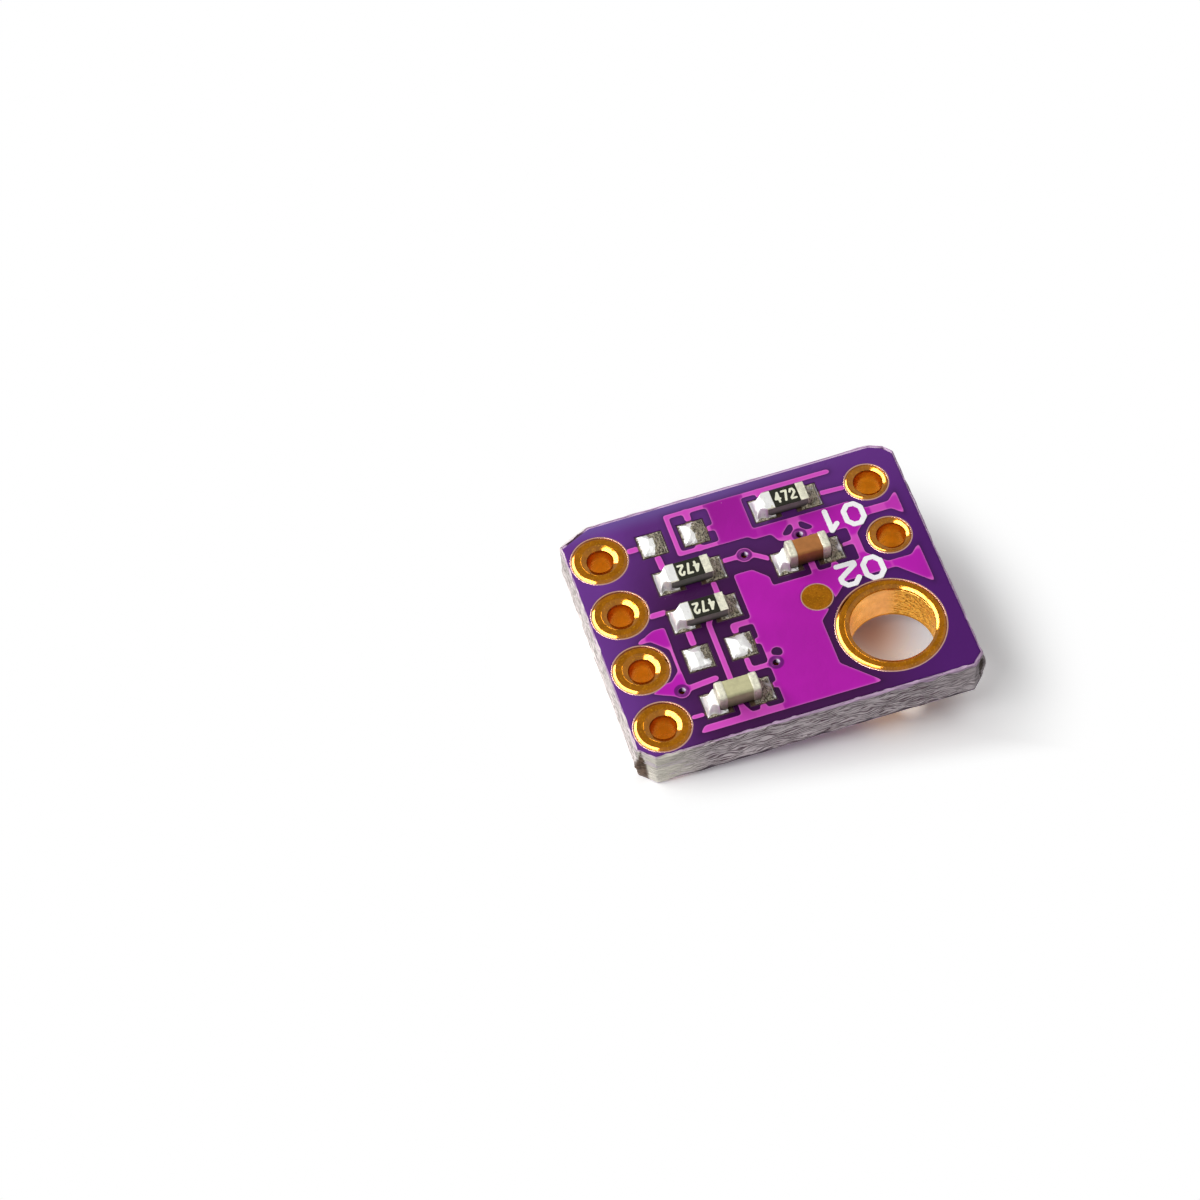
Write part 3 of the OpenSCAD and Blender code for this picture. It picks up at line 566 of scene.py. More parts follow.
def triangulated(spots, rims):
    """Triangles over plan points that keep to the rims. Returns all points and triangles."""
    corners = rims.reshape(-1, 2)
    points, found = np.unique(np.round(np.concatenate([corners, spots]), 3), axis=0, return_inverse=True)
    edges = found.reshape(-1)[: len(corners)].reshape(-1, 2)
    edges = np.unique(np.sort(edges[edges[:, 0] != edges[:, 1]], axis=1), axis=0)
    made = geometry.delaunay_2d_cdt([Vector(p) for p in points], edges.tolist(), [], 0, 1e-5)
    return np.array([tuple(p) for p in made[0]]), np.array([tuple(f) for f in made[2]])


def full_turn(count):
    """Even angles all the way round."""
    return np.linspace(0, 2 * math.pi, count, endpoint=False)


def smooth_step(value, low, high):
    share = np.clip((value - low) / (high - low), 0, 1)
    return share * share * (3 - 2 * share)


def rolled(value):
    """Height of a quarter round at a share of its run."""
    return np.sqrt(1 - (1 - np.clip(value, 0, 1)) ** 2)


def mound(distance, reach, power=2):
    """1 at no distance, falling at about the reach, and more sharply with a higher power."""
    return np.exp(-(distance / reach) ** power)


def cloud(places, seed, scale=1.0):
    """Smooth noise from -1 to 1 at each place, with scale cells to the millimetre."""
    shift = Vector((3.7 * seed, 1.3 * seed, 2.9 * seed))
    return np.array([noise.noise(Vector(p) * scale + shift) for p in places])


# Pieces


def piece(name, points, faces, finish, slot, stands_for=(), crease=40, values=None):
    """A new piece on the board, with its values at each point as attributes."""
    mesh = bpy.data.meshes.new(name)
    faces = faces.tolist() if isinstance(faces, np.ndarray) else faces
    mesh.from_pydata((np.asarray(points) * MM).tolist(), [], faces)
    mesh.update()
    mesh.shade_smooth()
    mesh.set_sharp_from_angle(angle=math.radians(crease))
    for key, numbers in (values or {}).items():
        kind, field = ("FLOAT", "value") if numbers.ndim == 1 else ("FLOAT_VECTOR", "vector")
        attribute = mesh.attributes.new(key, kind, "POINT")
        attribute.data.foreach_set(field, numbers.astype(np.float32).ravel())
    mesh.materials.append(finish)
    made = bpy.data.objects.new(name, mesh)
    bpy.context.scene.collection.objects.link(made)
    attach(made, "root")
    if stands_for:
        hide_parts(*stands_for)
    return made


def dress(node, finish, bevel=0.0):
    """Gives a CAD node its finish, and its edges a small round."""
    held = frame["nodes"][node]
    held.data.materials.clear()
    held.data.materials.append(finish)
    if bevel:
        weld = held.modifiers.new("one_skin", "WELD")
        weld.merge_threshold = 1e-7
        edge = held.modifiers.new("soft_edges", "BEVEL")
        edge.width, edge.segments, edge.limit_method = bevel * MM, 3, "ANGLE"
        edge.harden_normals = True


def joined(shapes):
    """Several (points, faces) as one."""
    points, faces, start = [], [], 0
    for some_points, some_faces in shapes:
        points.append(some_points)
        faces += [[start + corner for corner in face] for face in some_faces]
        start += len(some_points)
    return np.concatenate(points), faces


def net(rows, columns, round_rows=False, round_columns=False):
    """Quads over a grid of points, row by row, closed round either way if asked."""
    r = np.arange(rows if round_rows else rows - 1)[:, None]
    c = np.arange(columns if round_columns else columns - 1)[None, :]
    ends = [(r, c), (r, c + 1), (r + 1, c + 1), (r + 1, c)]
    return np.stack([(i % rows) * columns + j % columns for i, j in ends], -1).reshape(-1, 4)


def turned(radii, heights, turns, centres):
    """Points of the rings that each radius and height draws about an upright axis. The
    axis stands on one centre, or on a centre for each ring."""
    turn = full_turn(turns)
    radii, heights = np.reshape(radii, (-1, 1)), np.reshape(heights, (-1, 1))
    x, y = np.reshape(centres, (-1, 2, 1)).swapaxes(0, 1)
    x, y = x + radii * np.cos(turn), y + radii * np.sin(turn)
    return np.stack([x, y, heights + 0 * x], -1).reshape(-1, 3)


def closed_below(points, triangles, floor):
    """Adds walls and a flat bottom at a height under a sheet of triangles."""
    rim = border_edges(triangles)
    lowered = points.copy()
    lowered[:, 2] = floor
    count = len(points)
    walls = np.stack([rim[:, 1], rim[:, 0], rim[:, 0] + count, rim[:, 1] + count], -1)
    faces = triangles.tolist() + walls.tolist() + (triangles[:, ::-1] + count).tolist()
    return np.concatenate([points, lowered]), faces


def torn_wall(corners, top, tear):
    """The board's wall, torn along its strands, with a burr that folds in over the board.
    Each point has its place along and up the wall, and its share of scorching."""
    rows, burr_rows = 66, 3
    along, path, out = walked(corners, 0.06)
    s, z = np.meshgrid(along, np.linspace(0, top, rows), indexing="ij")
    level = z + 0.05 * np.sin(s * 5.2 + 1.7 * np.sin(s * 0.9)) * np.sin(z * 8)
    flat = np.stack([s.ravel(), level.ravel(), 0 * s.ravel()], -1)
    strand, bundle, rag = (
        cloud(flat * (*stretch, 1), seed).reshape(s.shape)
        for stretch, seed in (((1.4, 15.0), 1), ((1.0, 3.0), 2), ((2.0, 3.4), 4)))
    ragged = 0.5 + 0.5 * rag

    # One corner is bruised and scorched, and one has lost a sliver.
    low, high = corners.min(axis=0), corners.max(axis=0)
    burnt, split = (
        corners[np.argmin(away(corners, spot))]
        for spot in (low + (0.1, 0.6), (high[0] - 0.1, low[1] + 0.5)))
    burnt_at, split_at, burn_at, sliver_at = (
        away(path, spot)[:, None] for spot in (burnt, split, burnt + (0.12, -0.12), split - (0.13, 0.13)))
    depth = 0.02 + tear * (0.9 * strand + 0.9 * bundle)
    depth -= 0.03 * (1 - rolled(np.minimum(z, top - z) / 0.06))
    depth += 0.14 * mound(burnt_at, 0.14) * mound(z - 0.75, 0.3) * (0.5 + ragged)
    depth += 0.1 * mound(split_at, 0.09) * smooth_step(z, 1.5, 1.1) * smooth_step(z, 0.2, 0.7)

    wall = np.concatenate([path[:, None] + out[:, None] * depth[..., None], z[..., None]], -1)
    lip = 0.02 + 0.06 * np.clip(cloud(flat[::rows] * (3, 1, 1), 7) + 0.25, 0, 1)
    burr = [
        np.column_stack([path - out * np.reshape(inward, (-1, 1)), height + 0 * lip])[:, None]
        for inward, height in ((lip, top + 0.012 + 0.5 * lip), (0.03, top - 0.01), (0.03, -0.012))]
    shape = np.concatenate([wall, *burr], axis=1)
    place = np.zeros(shape.shape)
    place[:, :, 0] = along[:, None]
    place[:, :rows, 1] = level
    place[:, rows:, 1] = top + 0.03, top + 0.06, -0.03
    burn = np.clip(1.5 - z, 0.01, 1) ** 0.7 * (0.15 + 0.22 * ragged)
    sliver = 0.13 * smooth_step(z, 1.5, 1.25) * smooth_step(z, 0.15, 1.1) + 0.01
    scorch = np.maximum(mound(burn_at, burn, 10), mound(sliver_at, sliver, 8))
    scorch = np.concatenate([scorch, np.repeat(scorch[:, -1:] * 0.4, burr_rows, axis=1)], axis=1)
    values = {"wall_mm": place.reshape(-1, 3), "scorch": scorch.ravel()}
    return shape.reshape(-1, 3), net(len(path), rows + burr_rows, True, True)[:, ::-1], values


def spread(field, pick):
    """A grid with each value replaced by pick() of it and its two neighbours, first along
    one axis and then along the other."""
    for axis in (0, 1):
        field = pick(field, np.roll(field, 1, axis), np.roll(field, -1, axis))
    return field


def sampled(field, spots, corner, spacing):
    """A grid's value at each plan point, evenly blended between the grid's points."""
    place = (spots - corner) / spacing
    cell = np.clip(place.astype(int), 0, np.array(field.shape) - 2)
    u, v = (place - cell).T
    i, j = cell.T
    near = field[i, j] * (1 - v) + field[i, j + 1] * v
    far = field[i + 1, j] * (1 - v) + field[i + 1, j + 1] * v
    return near * (1 - u) + far * u


def via_rings():
    """Each via's centre, land radius and bore radius."""
    left = welded("vias")[0][:, :2]
    while len(left):
        close = away(left, left[0]) < 0.8
        low, high = left[close].min(axis=0), left[close].max(axis=0)
        centre = (low + high) / 2
        yield centre, (high[0] - low[0]) / 2, away(left[close], centre).min()
        left = left[~close]


def film_rims(low, high):
    """All rims of a film's low and high faces, then those with film on both sides, where it
    steps over the foil's edge, and those with film on one side, where it ends."""
    rims = np.concatenate([low, high])
    run = rims[:, 1] - rims[:, 0]
    aside = 0.004 * np.stack([-run[:, 1], run[:, 0]], -1) / np.hypot(*run.T)[:, None]
    middle = rims.mean(axis=1)
    left, right = (inside(spots, low) | inside(spots, high) for spots in (middle - aside, middle + aside))
    return rims, rims[left & right], rims[left != right]


def film(name, node, side, finish, fine):
    """A lacquer film: flat between tracks, a soft step up over the foil, rolled at its rims
    and run a little way down the vias."""
    points, triangles = welded(node)
    points[:, 2] *= side
    triangles = triangles[:, ::side]
    levels = np.unique(points[:, 2])
    base, fill, over = levels[0], levels[-2], levels[-1]
    low, high = (level_rims(points, triangles, z) for z in (fill, over))
    rims, steps, ends = film_rims(low, high)

    # On a grid, the distance from the foil's edge, above 0 over the foil. The broad one
    # keeps the largest near by, so it says how wide a track is.
    corner = rims.reshape(-1, 2).min(axis=0) - fine
    counts = ((rims.reshape(-1, 2).max(axis=0) - corner) / fine).astype(int) + 3
    i, j = np.indices(counts)
    spots = (corner + fine * np.stack([i, j], -1)).reshape(-1, 2)
    covered, bare = inside(spots, high), inside(spots, low)
    step_away, end_away = nearest(spots, steps), nearest(spots, ends)
    step = (step_away * np.where(covered, 1, -1)).reshape(counts)
    for _ in range(3):
        step = spread(step, lambda a, b, c: (2 * a + b + c) / 4)
    broad = step
    for _ in range(6):
        broad = spread(broad, lambda a, b, c: np.maximum(a, np.maximum(b, c)))

    # The sheet, with its points close together only where it steps or ends.
    busy = np.minimum(step_away, end_away) < 4 * fine
    sparse = ((i % 4 == 0) & (j % 4 == 0)).ravel()
    kept = (end_away > fine / 4) & (covered | bare) & (sparse | busy)
    spots, triangles = triangulated(spots[kept], ends)
    centres = spots[triangles].mean(axis=1)
    triangles = triangles[inside(centres, low) | inside(centres, high)]
    depth, wide = (sampled(field, spots, corner, fine) for field in (step, broad))
    roll_run, roll_fall = 0.04, 0.012
    height = fill + (over - fill) * smooth_step(depth, -0.05, 0.02)
    height -= roll_fall * (1 - rolled(nearest(spots, ends) / roll_run))
    shapes = [closed_below(np.column_stack([spots, height]), triangles, base + 0.001)]

    # The throats of the vias. The sheet's values come twice, for its face and its back.
    vias = list(via_rings())
    outside, above, throat, shine = np.array(VIA_THROAT).T
    for centre, _, bore in vias:
        ring = turned(bore + outside, over + above, VIA_TURNS, centre)
        shapes.append((ring, net(len(outside), VIA_TURNS, True, True)))
    shape, faces = joined(shapes)
    sunlit = np.clip(np.cos(full_turn(VIA_TURNS) - math.radians(30)) * 3 - 2, 0, 1)
    values = {"via_mm": np.min([away(shape[:, :2], centre) for centre, _, _ in vias], axis=0)}
    for key, sheet, ring in (
            ("copper_mm", depth, np.repeat(throat, VIA_TURNS)),
            ("broad_mm", wide, np.full(len(throat) * VIA_TURNS, 0.3)),
            ("glint", np.zeros_like(depth), np.outer(shine, sunlit).ravel())):
        values[key] = np.concatenate([sheet, sheet, np.tile(ring, len(vias))])
    shape[:, 2] *= side
    if side < 0:
        faces = [face[::-1] for face in faces]
    return piece(name, shape, faces, finish, "mask", [node], values=values)


def plated_ring(land, land_r, bore, bore_r, top, turns, edge, lip, steep=0.0, narrow=0.05):
    """A plated hole with a land on each face, turned about an axis that moves from the
    land's centre to the bore's. The land rises from its edge, lies flat and then falls
    in a lip that rolls into the bore. Edge and lip are the runs of its slopes, steep is
    added to their degrees, and the barrel is narrower than the bore by narrow. Also says
    which points are on the outer rim and which on the polished slopes."""
    wide = land_r - bore_r + narrow
    bends = [0, edge, edge + 0.02, wide - lip - 0.01, wide - lip + 0.01, wide - 0.14 * lip, wide]
    degrees = [33.5 + steep, 29.5 + steep, 1, -1, -29.5 - steep, -33.5 - steep, -80]
    u = np.unique(np.concatenate([
        np.linspace(0, edge, 9), np.linspace(edge, wide - lip, 6), np.linspace(wide - lip, wide, 16), bends]))
    slope = np.tan(np.radians(np.interp(u, bends, degrees)))
    slope *= 1 + 0.85 * (bore[0] - land[0]) / wide * np.sign(slope)
    rise = np.concatenate([[0], np.cumsum(np.diff(u) * (slope[1:] + slope[:-1]) / 2)])
    upper = [(0, land_r + r, top + z) for r, z in HEM]
    upper += [(w / wide, land_r - w, top + 0.03 + z) for w, z in zip(u, rise)]
    throat, deep = upper[-1][1:]
    barrel = [(1, throat + 0.006 * math.sin(9 * z), z) for z in np.linspace(deep, top - deep, 14)[1:-1]]
    lower = [(s, r, top - z) for s, r, z in reversed(upper)]
    hidden = [(1, bore_r + 0.018, 0.004), (1, bore_r + 0.018, top - 0.004)]
    share, radii, heights = np.array(upper + barrel + lower + hidden).T
    rim, polish = np.zeros((2, len(share)))
    last = len(upper) + len(barrel) + len(lower)
    rim[:len(HEM)] = rim[last - len(HEM):last] = 1
    polish[len(HEM):len(upper)] = (u < edge + 0.01) | ((u > wide - lip - 0.01) & (u < wide - 0.1 * lip))
    points = turned(radii, heights, turns, land + share[:, None] * (bore - land))
    values = {"rim": np.repeat(rim, turns), "polish": np.repeat(polish, turns)}
    return points, net(len(share), turns, True, True)[:, ::-1], values


def rounded_block(low, high):
    """A block with soft edges all round, drawn like a globe with flattened waves."""
    turns, rows, flattening = 64, 33, 0.3
    turn, rise = full_turn(turns), np.linspace(-1.5, 1.5, rows)
    out, up, east, north = (
        np.sign(wave) * np.abs(wave) ** flattening
        for wave in (np.cos(rise), np.sin(rise), np.cos(turn), np.sin(turn)))
    unit = np.stack([np.outer(out, east), np.outer(out, north), np.repeat(up[:, None], turns, 1)], -1)
    faces = net(rows, turns, False, True).tolist()
    faces += [tuple(range(turns))[::-1], tuple(range((rows - 1) * turns, rows * turns))]
    return (low + high) / 2 + unit.reshape(-1, 3) * (high - low) / 2, faces


def lump(x, y, height, dull_and_shaded, floor):
    """A closed lump over a grid of places: its points, its faces and its share of grainy, shaded solder."""
    points = np.stack([x, y, floor + height], -1).reshape(-1, 3)
    faces = net(*x.shape)
    triangles = np.concatenate([faces[:, [0, 3, 2]], faces[:, [0, 2, 1]]])
    return (*closed_below(points, triangles, floor + 0.001), np.tile(dull_and_shaded.ravel(), 2))


def plan_grid(low, high, seed):
    """Places over a plan rectangle, with coarse and fine lumpiness at each."""
    x, y = np.meshgrid(*(np.linspace(low[i], high[i], 52) for i in (0, 1)), indexing="ij")
    places = np.stack([x, y, 0 * x], -1).reshape(-1, 3)
    return x, y, *(cloud(places, seed, scale).reshape(x.shape) for scale in (3.0, 11.0))


def bead(low, high, seed, bright):
    """Solder that set on an empty pad: a hipped cushion, smooth on the left up to the
    bright share of its length and grainy beyond, where it is also painted dark as shade."""
    x, y, coarse, fine = plan_grid(low, high, seed)
    middle, half = (low + high) / 2, (high - low) / 2
    a, b = (x - middle[0]) / half[0], (y - middle[1]) / half[1]
    out = np.maximum(np.abs(a), np.abs(b)) + 0.10 * coarse + 0.07 * fine
    roof = np.minimum(1.15 - np.abs(a + 0.06), 1.25 - np.abs(b)) - 0.2 * coarse
    tall = 1.25 * (high[2] - low[2])
    dull_and_shaded = smooth_step(a + 0.5 * coarse + 0.2 * fine, bright - 0.25, bright + 0.15)
    height = tall * np.clip(roof, 0, 0.95) * smooth_step(out, 1.02, 0.78)
    height += 0.03 * fine * dull_and_shaded * smooth_step(out, 1.0, 0.8)
    dull_and_shaded = np.maximum(dull_and_shaded, smooth_step(out, 0.86, 0.98))
    return lump(x, y, np.maximum(height, 0.004), dull_and_shaded, low[2])


def joint(chip, pad, side, seed, rise):
    """Solder that climbs one end of a chip part and runs out over its pad."""
    end = chip[1][0] if side > 0 else chip[0][0]
    x, y, coarse, fine = plan_grid(*pad, seed)
    outward = (x - end) * side
    run = np.clip(outward / outward.max(), 0, 1)
    middle, half = (pad[0][1] + pad[1][1]) / 2, (pad[1][1] - pad[0][1]) / 2
    body = (chip[1][1] - chip[0][1]) / 2
    across = np.abs(y - middle)
    waist = np.sin(math.pi * run) ** 2
    room = half * (1 - 0.2 * waist) + 0.05 * coarse
    fall = smooth_step(across, body - 0.06 - 0.14 * waist, room)
    crown = chip[1][2] - pad[0][2] + 0.012
    low_chip = rise > 0.7 * crown
    rise = crown if low_chip and side < 0 else rise
    crest = rise * (np.cos(run * math.pi / 2) ** 0.9 if side < 0 else (1 - run) ** 1.1) + 0.05 * run
    tail = smooth_step(run + 0.14 * coarse, 1.04, 0.84)
    grain = 0.006 if side < 0 else 0.02
    height = crest * (1 - fall) * tail * (1 + 0.1 * coarse) + grain * fine * (run > 0)
    beside = np.clip(1 + outward / 0.26, 0, 1)
    height = np.where(outward < 0, 0.55 * height * beside, height)
    under = (outward < 0) & (across < body)
    height = np.where(under, 0.028, np.maximum(height, 0.004))
    # The grainy share is also painted shade: along the near side of the left joints, and over most of the
    # right joints, which lighten towards their outer end in a painted highlight.
    if side < 0:
        dull_and_shaded = smooth_step(middle - y, body + 0.04, body + 0.16)
        if low_chip:
            over = (outward > -0.29 + 0.04 * coarse) & (outward < 0.04) & (across < body - 0.02)
            height = np.where(over, crown + 0.02 * coarse, height)
    else:
        dull_and_shaded = 0.8 + 0.6 * coarse - 0.5 * smooth_step(run, 0.75, 1.0)
    dull_and_shaded = np.maximum(dull_and_shaded, smooth_step(across - room, -0.06, 0.0))
    dull_and_shaded = np.maximum(dull_and_shaded, smooth_step(tail, 0.3, 0.0) * (side < 0))
    return lump(x, y, height, dull_and_shaded, pad[0][2])


def printed(text, centre, size, gap, stroke, floor, top, upside_down=True):
    """Flat printed figures: the strokes' outlines joined into one sheet for each figure."""
    wide, tall = size
    way = -1 if upside_down else 1
    left = -(len(text) * wide + (len(text) - 1) * gap) / 2
    disc = turned([stroke / 2], [0], 16, (0, 0))[:, :2]
    shapes = []
    for place, figure in enumerate(text):
        corner = np.array([left + place * (wide + gap) + stroke / 2, -tall / 2 + stroke / 2])
        room = np.array([wide - stroke, tall - stroke])
        lines = [np.array(line) * room + corner for line in STROKES[figure]]
        spines = np.concatenate([np.stack([line[:-1], line[1:]], 1) for line in lines])
        rims = []
        for start, end in spines:
            run = end - start
            aside = stroke / 2 * np.array([-run[1], run[0]]) / np.hypot(*run)
            block = np.array([start + aside, start - aside, end - aside, end + aside])
            for ring in (block, start + disc, end + disc):
                rims.append(np.stack([ring, np.roll(ring, -1, axis=0)], 1))
        spots, triangles = triangulated(np.empty((0, 2)), np.concatenate(rims))
        kept = nearest(spots[triangles].mean(axis=1), spines) < stroke / 2
        sheet = np.column_stack([centre + way * spots, np.full(len(spots), top)])
        shapes.append(closed_below(sheet, triangles[kept], floor))
    return joined(shapes)


def strip_lamp(name, way, along, size, strength):
    """A strip that faces the board from one way, with its length along another."""
    lamp = bpy.data.lights.new(name, "AREA")
    lamp.shape, lamp.size, lamp.size_y = "RECTANGLE", *size
    lamp.energy = strength * math.pi * size[0] * size[1]
    held = bpy.data.objects.new(name, lamp)
    way, along = Vector(way).normalized(), Vector(along)
    side = (along - way * way.dot(along)).normalized()
    held.location = (Vector(MIDDLE) + way * LAMP_AWAY) * MM
    held.rotation_mode = "QUATERNION"
    held.rotation_quaternion = Matrix((side, way.cross(side), way)).transposed().to_quaternion()
    held.visible_camera = False
    bpy.context.scene.collection.objects.link(held)


# Sizes and colours to change


def tint(name, description, default):
    """A colour that a user can change."""
    return FloatVectorProperty(name=name, description=description, subtype="COLOR", default=default)


class LacquerStyle(bpy.types.PropertyGroup):
    covered: tint("Over foil", "Lacquer over the ground area", (0.47, 0.012, 0.415))
    track: tint("Over tracks", "Thin lacquer over the narrow tracks", (0.66, 0.07, 0.52))
    # The colour of a painted highlight along the foil's edges.
    edge: tint("Foil edges", "Thin lacquer along the edges of the foil", (0.86, 0.24, 0.70))
    bare: tint("Over laminate", "Lacquer between the tracks", (0.052, 0.006, 0.066))
    bare_right: tint("Near the right edge", "Lacquer over laminate at the right", (0.08, 0.010, 0.145))
    over_via: tint("Over vias", "Lacquer over the via lands", (0.15, 0.008, 0.17))
    # Painted reflections: the lighter, bluer lacquer towards the left and far edges.
    rim_reflection: tint(
        "Near the left and far edges", "Thin lacquer at the board's rim", (0.145, 0.036, 0.26))
    far_reflection: tint("Along the far edge", "Bluish lacquer at the far edge", (0.17, 0.13, 0.38))
    sheen: FloatProperty(
        name="Sheen", description="Strength of the lacquer's reflection", min=0, max=1, subtype="FACTOR",
        default=0.12)
    step: FloatProperty(
        name="Mesh step", description="Spacing of the film's points beside the tracks", min=2e-5,
        unit="LENGTH", default=4.5e-5, precision=6)


class MetalStyle(bpy.types.PropertyGroup):
    gold: tint("Gold", "Plating of the lands", (0.43, 0.15, 0.008))
    gold_dark: tint("Stained gold", "Darker stains on the lands", (0.33, 0.115, 0.006))
    gold_rim: tint("Rim of the lands", "Thin lacquer that runs up on each land", (0.60, 0.35, 0.28))
    wall: tint("Narrow drilled walls", "Plating inside the pads' holes", (0.74, 0.235, 0.006))
    wide_wall: tint("Wide drilled wall", "Plating inside the mounting hole", (1.0, 0.52, 0.18))
    solder: tint("Solder", "Clean solder", (0.97, 0.965, 0.94))
    # Also the colour of painted shade on the grainy solder and on the lower ends of the chip parts.
    solder_dark: tint("Dull solder", "Grains and flux in the solder", (0.44, 0.39, 0.28))
    tin: tint("Tin", "Ends of the chip parts", (0.86, 0.83, 0.66))


class BoardStyle(bpy.types.PropertyGroup):
    glass: tint("Glass fibre", "Clean glass and resin", (0.89, 0.785, 0.82))
    glass_dark: tint("Between the strands", "Shaded glass and resin", (0.12, 0.062, 0.085))
    # Also painted light on the left end and its cut corner.
    glass_warm: tint("Near the left", "Yellowed glass near the left end", (1.0, 0.945, 0.83))
    rim: tint("Rim", "Resin along the board's upper and lower rim", (0.72, 0.50, 0.72))
    scorch: tint(
        "Scorched corner", "Burnt resin where the board was snapped off", (0.15, 0.095, 0.065))
    tear: FloatProperty(
        name="Tear", description="Depth of the torn strands in the walls", min=0, unit="LENGTH",
        default=4e-5, precision=6)


class StageStyle(bpy.types.PropertyGroup):
    lamp: FloatProperty(
        name="Strips", description="Brightness of the strip lamps, where white paper is 1", min=0,
        default=16.0)
    sky: FloatProperty(
        name="Room light", description="Light from all round", min=0, default=0.36)
    lens: FloatProperty(
        name="Lens", description="Focal length of the camera", min=10, unit="CAMERA", default=110.92)


# Operators


class MODULE_OT_laminate(bpy.types.Operator):
    """Dress the bare board and tear its walls"""

    bl_idname = "sensor_module.laminate"
    bl_label = "Laminate"

    def execute(self, context):
        style = context.scene.board_style
        dress("laminate", laminate_finish(style))
        points, triangles = welded("laminate")
        top = points[:, 2].max()
        corners = outer_loop(level_rims(points, triangles, top))
        *shape, values = torn_wall(corners, top, style.tear / MM)
        piece("broken_edge", *shape, broken_finish(style), "laminate", crease=70, values=values)
        return {"FINISHED"}


class MODULE_OT_foil(bpy.types.Operator):
    """Dress the copper foil on both faces"""

    bl_idname = "sensor_module.foil"
    bl_label = "Copper foil"

    def execute(self, context):
        finish = copper_finish()
        for node in ("copper_front", "copper_back"):
            dress(node, finish)
        return {"FINISHED"}


class MODULE_OT_lacquer(bpy.types.Operator):
    """Lay the purple lacquer over both faces"""

    bl_idname = "sensor_module.lacquer"
    bl_label = "Lacquer"

    def execute(self, context):
        style = context.scene.lacquer_style
        finish = lacquer_finish(style)
        film("lacquer_front", "mask_front", 1, finish, style.step / MM)
        film("lacquer_back", "mask_back", -1, finish, 2 * style.step / MM)
        return {"FINISHED"}


class MODULE_OT_plating(bpy.types.Operator):
    """Turn the plated lands, the vias and the bare dot"""

    bl_idname = "sensor_module.plating"
    bl_label = "Plated holes"

    def execute(self, context):
        style = context.scene.metal_style
        plain = gold_finish("gold_plate", style, style.wall)
        scratched = gold_finish("scratched_gold_plate", style, style.wide_wall, scratch=5.0)
        mounts = {m["name"]: m for m in frame["record"]["mounts"]}
        top = box_mm("laminate")[1][2]

        mounting = {"turns": 192, "edge": 0.09, "lip": 0.15, "steep": 1.6}
        header = {"turns": 112, "edge": 0.10, "lip": 0.22, "steep": -0.4, "narrow": 0.08}
        option = {"turns": 112, "edge": 0.05, "lip": 0.17, "steep": 2.8}
        holes = [("mounting_land", "mounting_hole", scratched, mounting)]
        for pads, form in ((HEADER_PADS, header), (OPTION_PADS, option)):
            holes += [(pad, pad.replace("pad", "hole"), plain, form) for pad in pads]
        for node, mount, finish, form in holes:
            low, high = box_mm(node)
            bore = np.array(mounts[mount]["pos_m"][:2]) / MM
            bore_r = mounts[mount]["dims"]["r_mm"]
            land_r = (high[1] - low[1]) / 2
            land = np.array([low[0] + land_r, (low[1] + high[1]) / 2])
            *shape, values = plated_ring(land, land_r, bore, bore_r, top, **form)
            piece(f"{node}_plating", *shape, finish, "gold_plate", [node], crease=60, values=values)

        # The vias' lands end a little way in under the lacquer, and lie lower.
        inset, sunk, via = 0.06, 0.04, {"turns": 48, "edge": 0.02, "lip": 0.03, "narrow": 0}
        shapes = [plated_ring(spot, land_r - inset, spot, bore_r, top - sunk, **via)[:2]
                  for spot, land_r, bore_r in via_rings()]
        piece("via_plating", *joined(shapes), plain, "gold_plate", ["vias"], crease=60)
        self.dot(plain)
        return {"FINISHED"}

    def dot(self, finish):
        """A low dome, with its two hidden rings last and two small bumps on top."""
        low, high = box_mm("plated_dot")
        middle, radius, turns = (low + high) / 2, (high[0] - low[0]) / 2, 72
        shares = np.array([
            0.001, 0.08, 0.16, 0.25, 0.35, 0.45, 0.65, 0.82, 0.93, 0.94, 0.98, 1.0, 1.0, 0.001])
        heights = high[2] + 0.01 * (1 - shares ** 4)
        heights[-2:] = low[2] + 0.001
        points = turned(radius * shares, heights, turns, middle[:2])
        shown = points[:-2 * turns]
        for spot in ((0.02, 0.1), (0.06, -0.13)):
            shown[:, 2] += 0.03 * mound(away(shown[:, :2], middle[:2] + spot), 0.05)
        rim = np.repeat(shares > 0.935, turns)
        piece("bare_dot", points, net(len(shares), turns, False, True), finish, "gold_plate",
              ["plated_dot"], crease=60, values={"rim": rim})


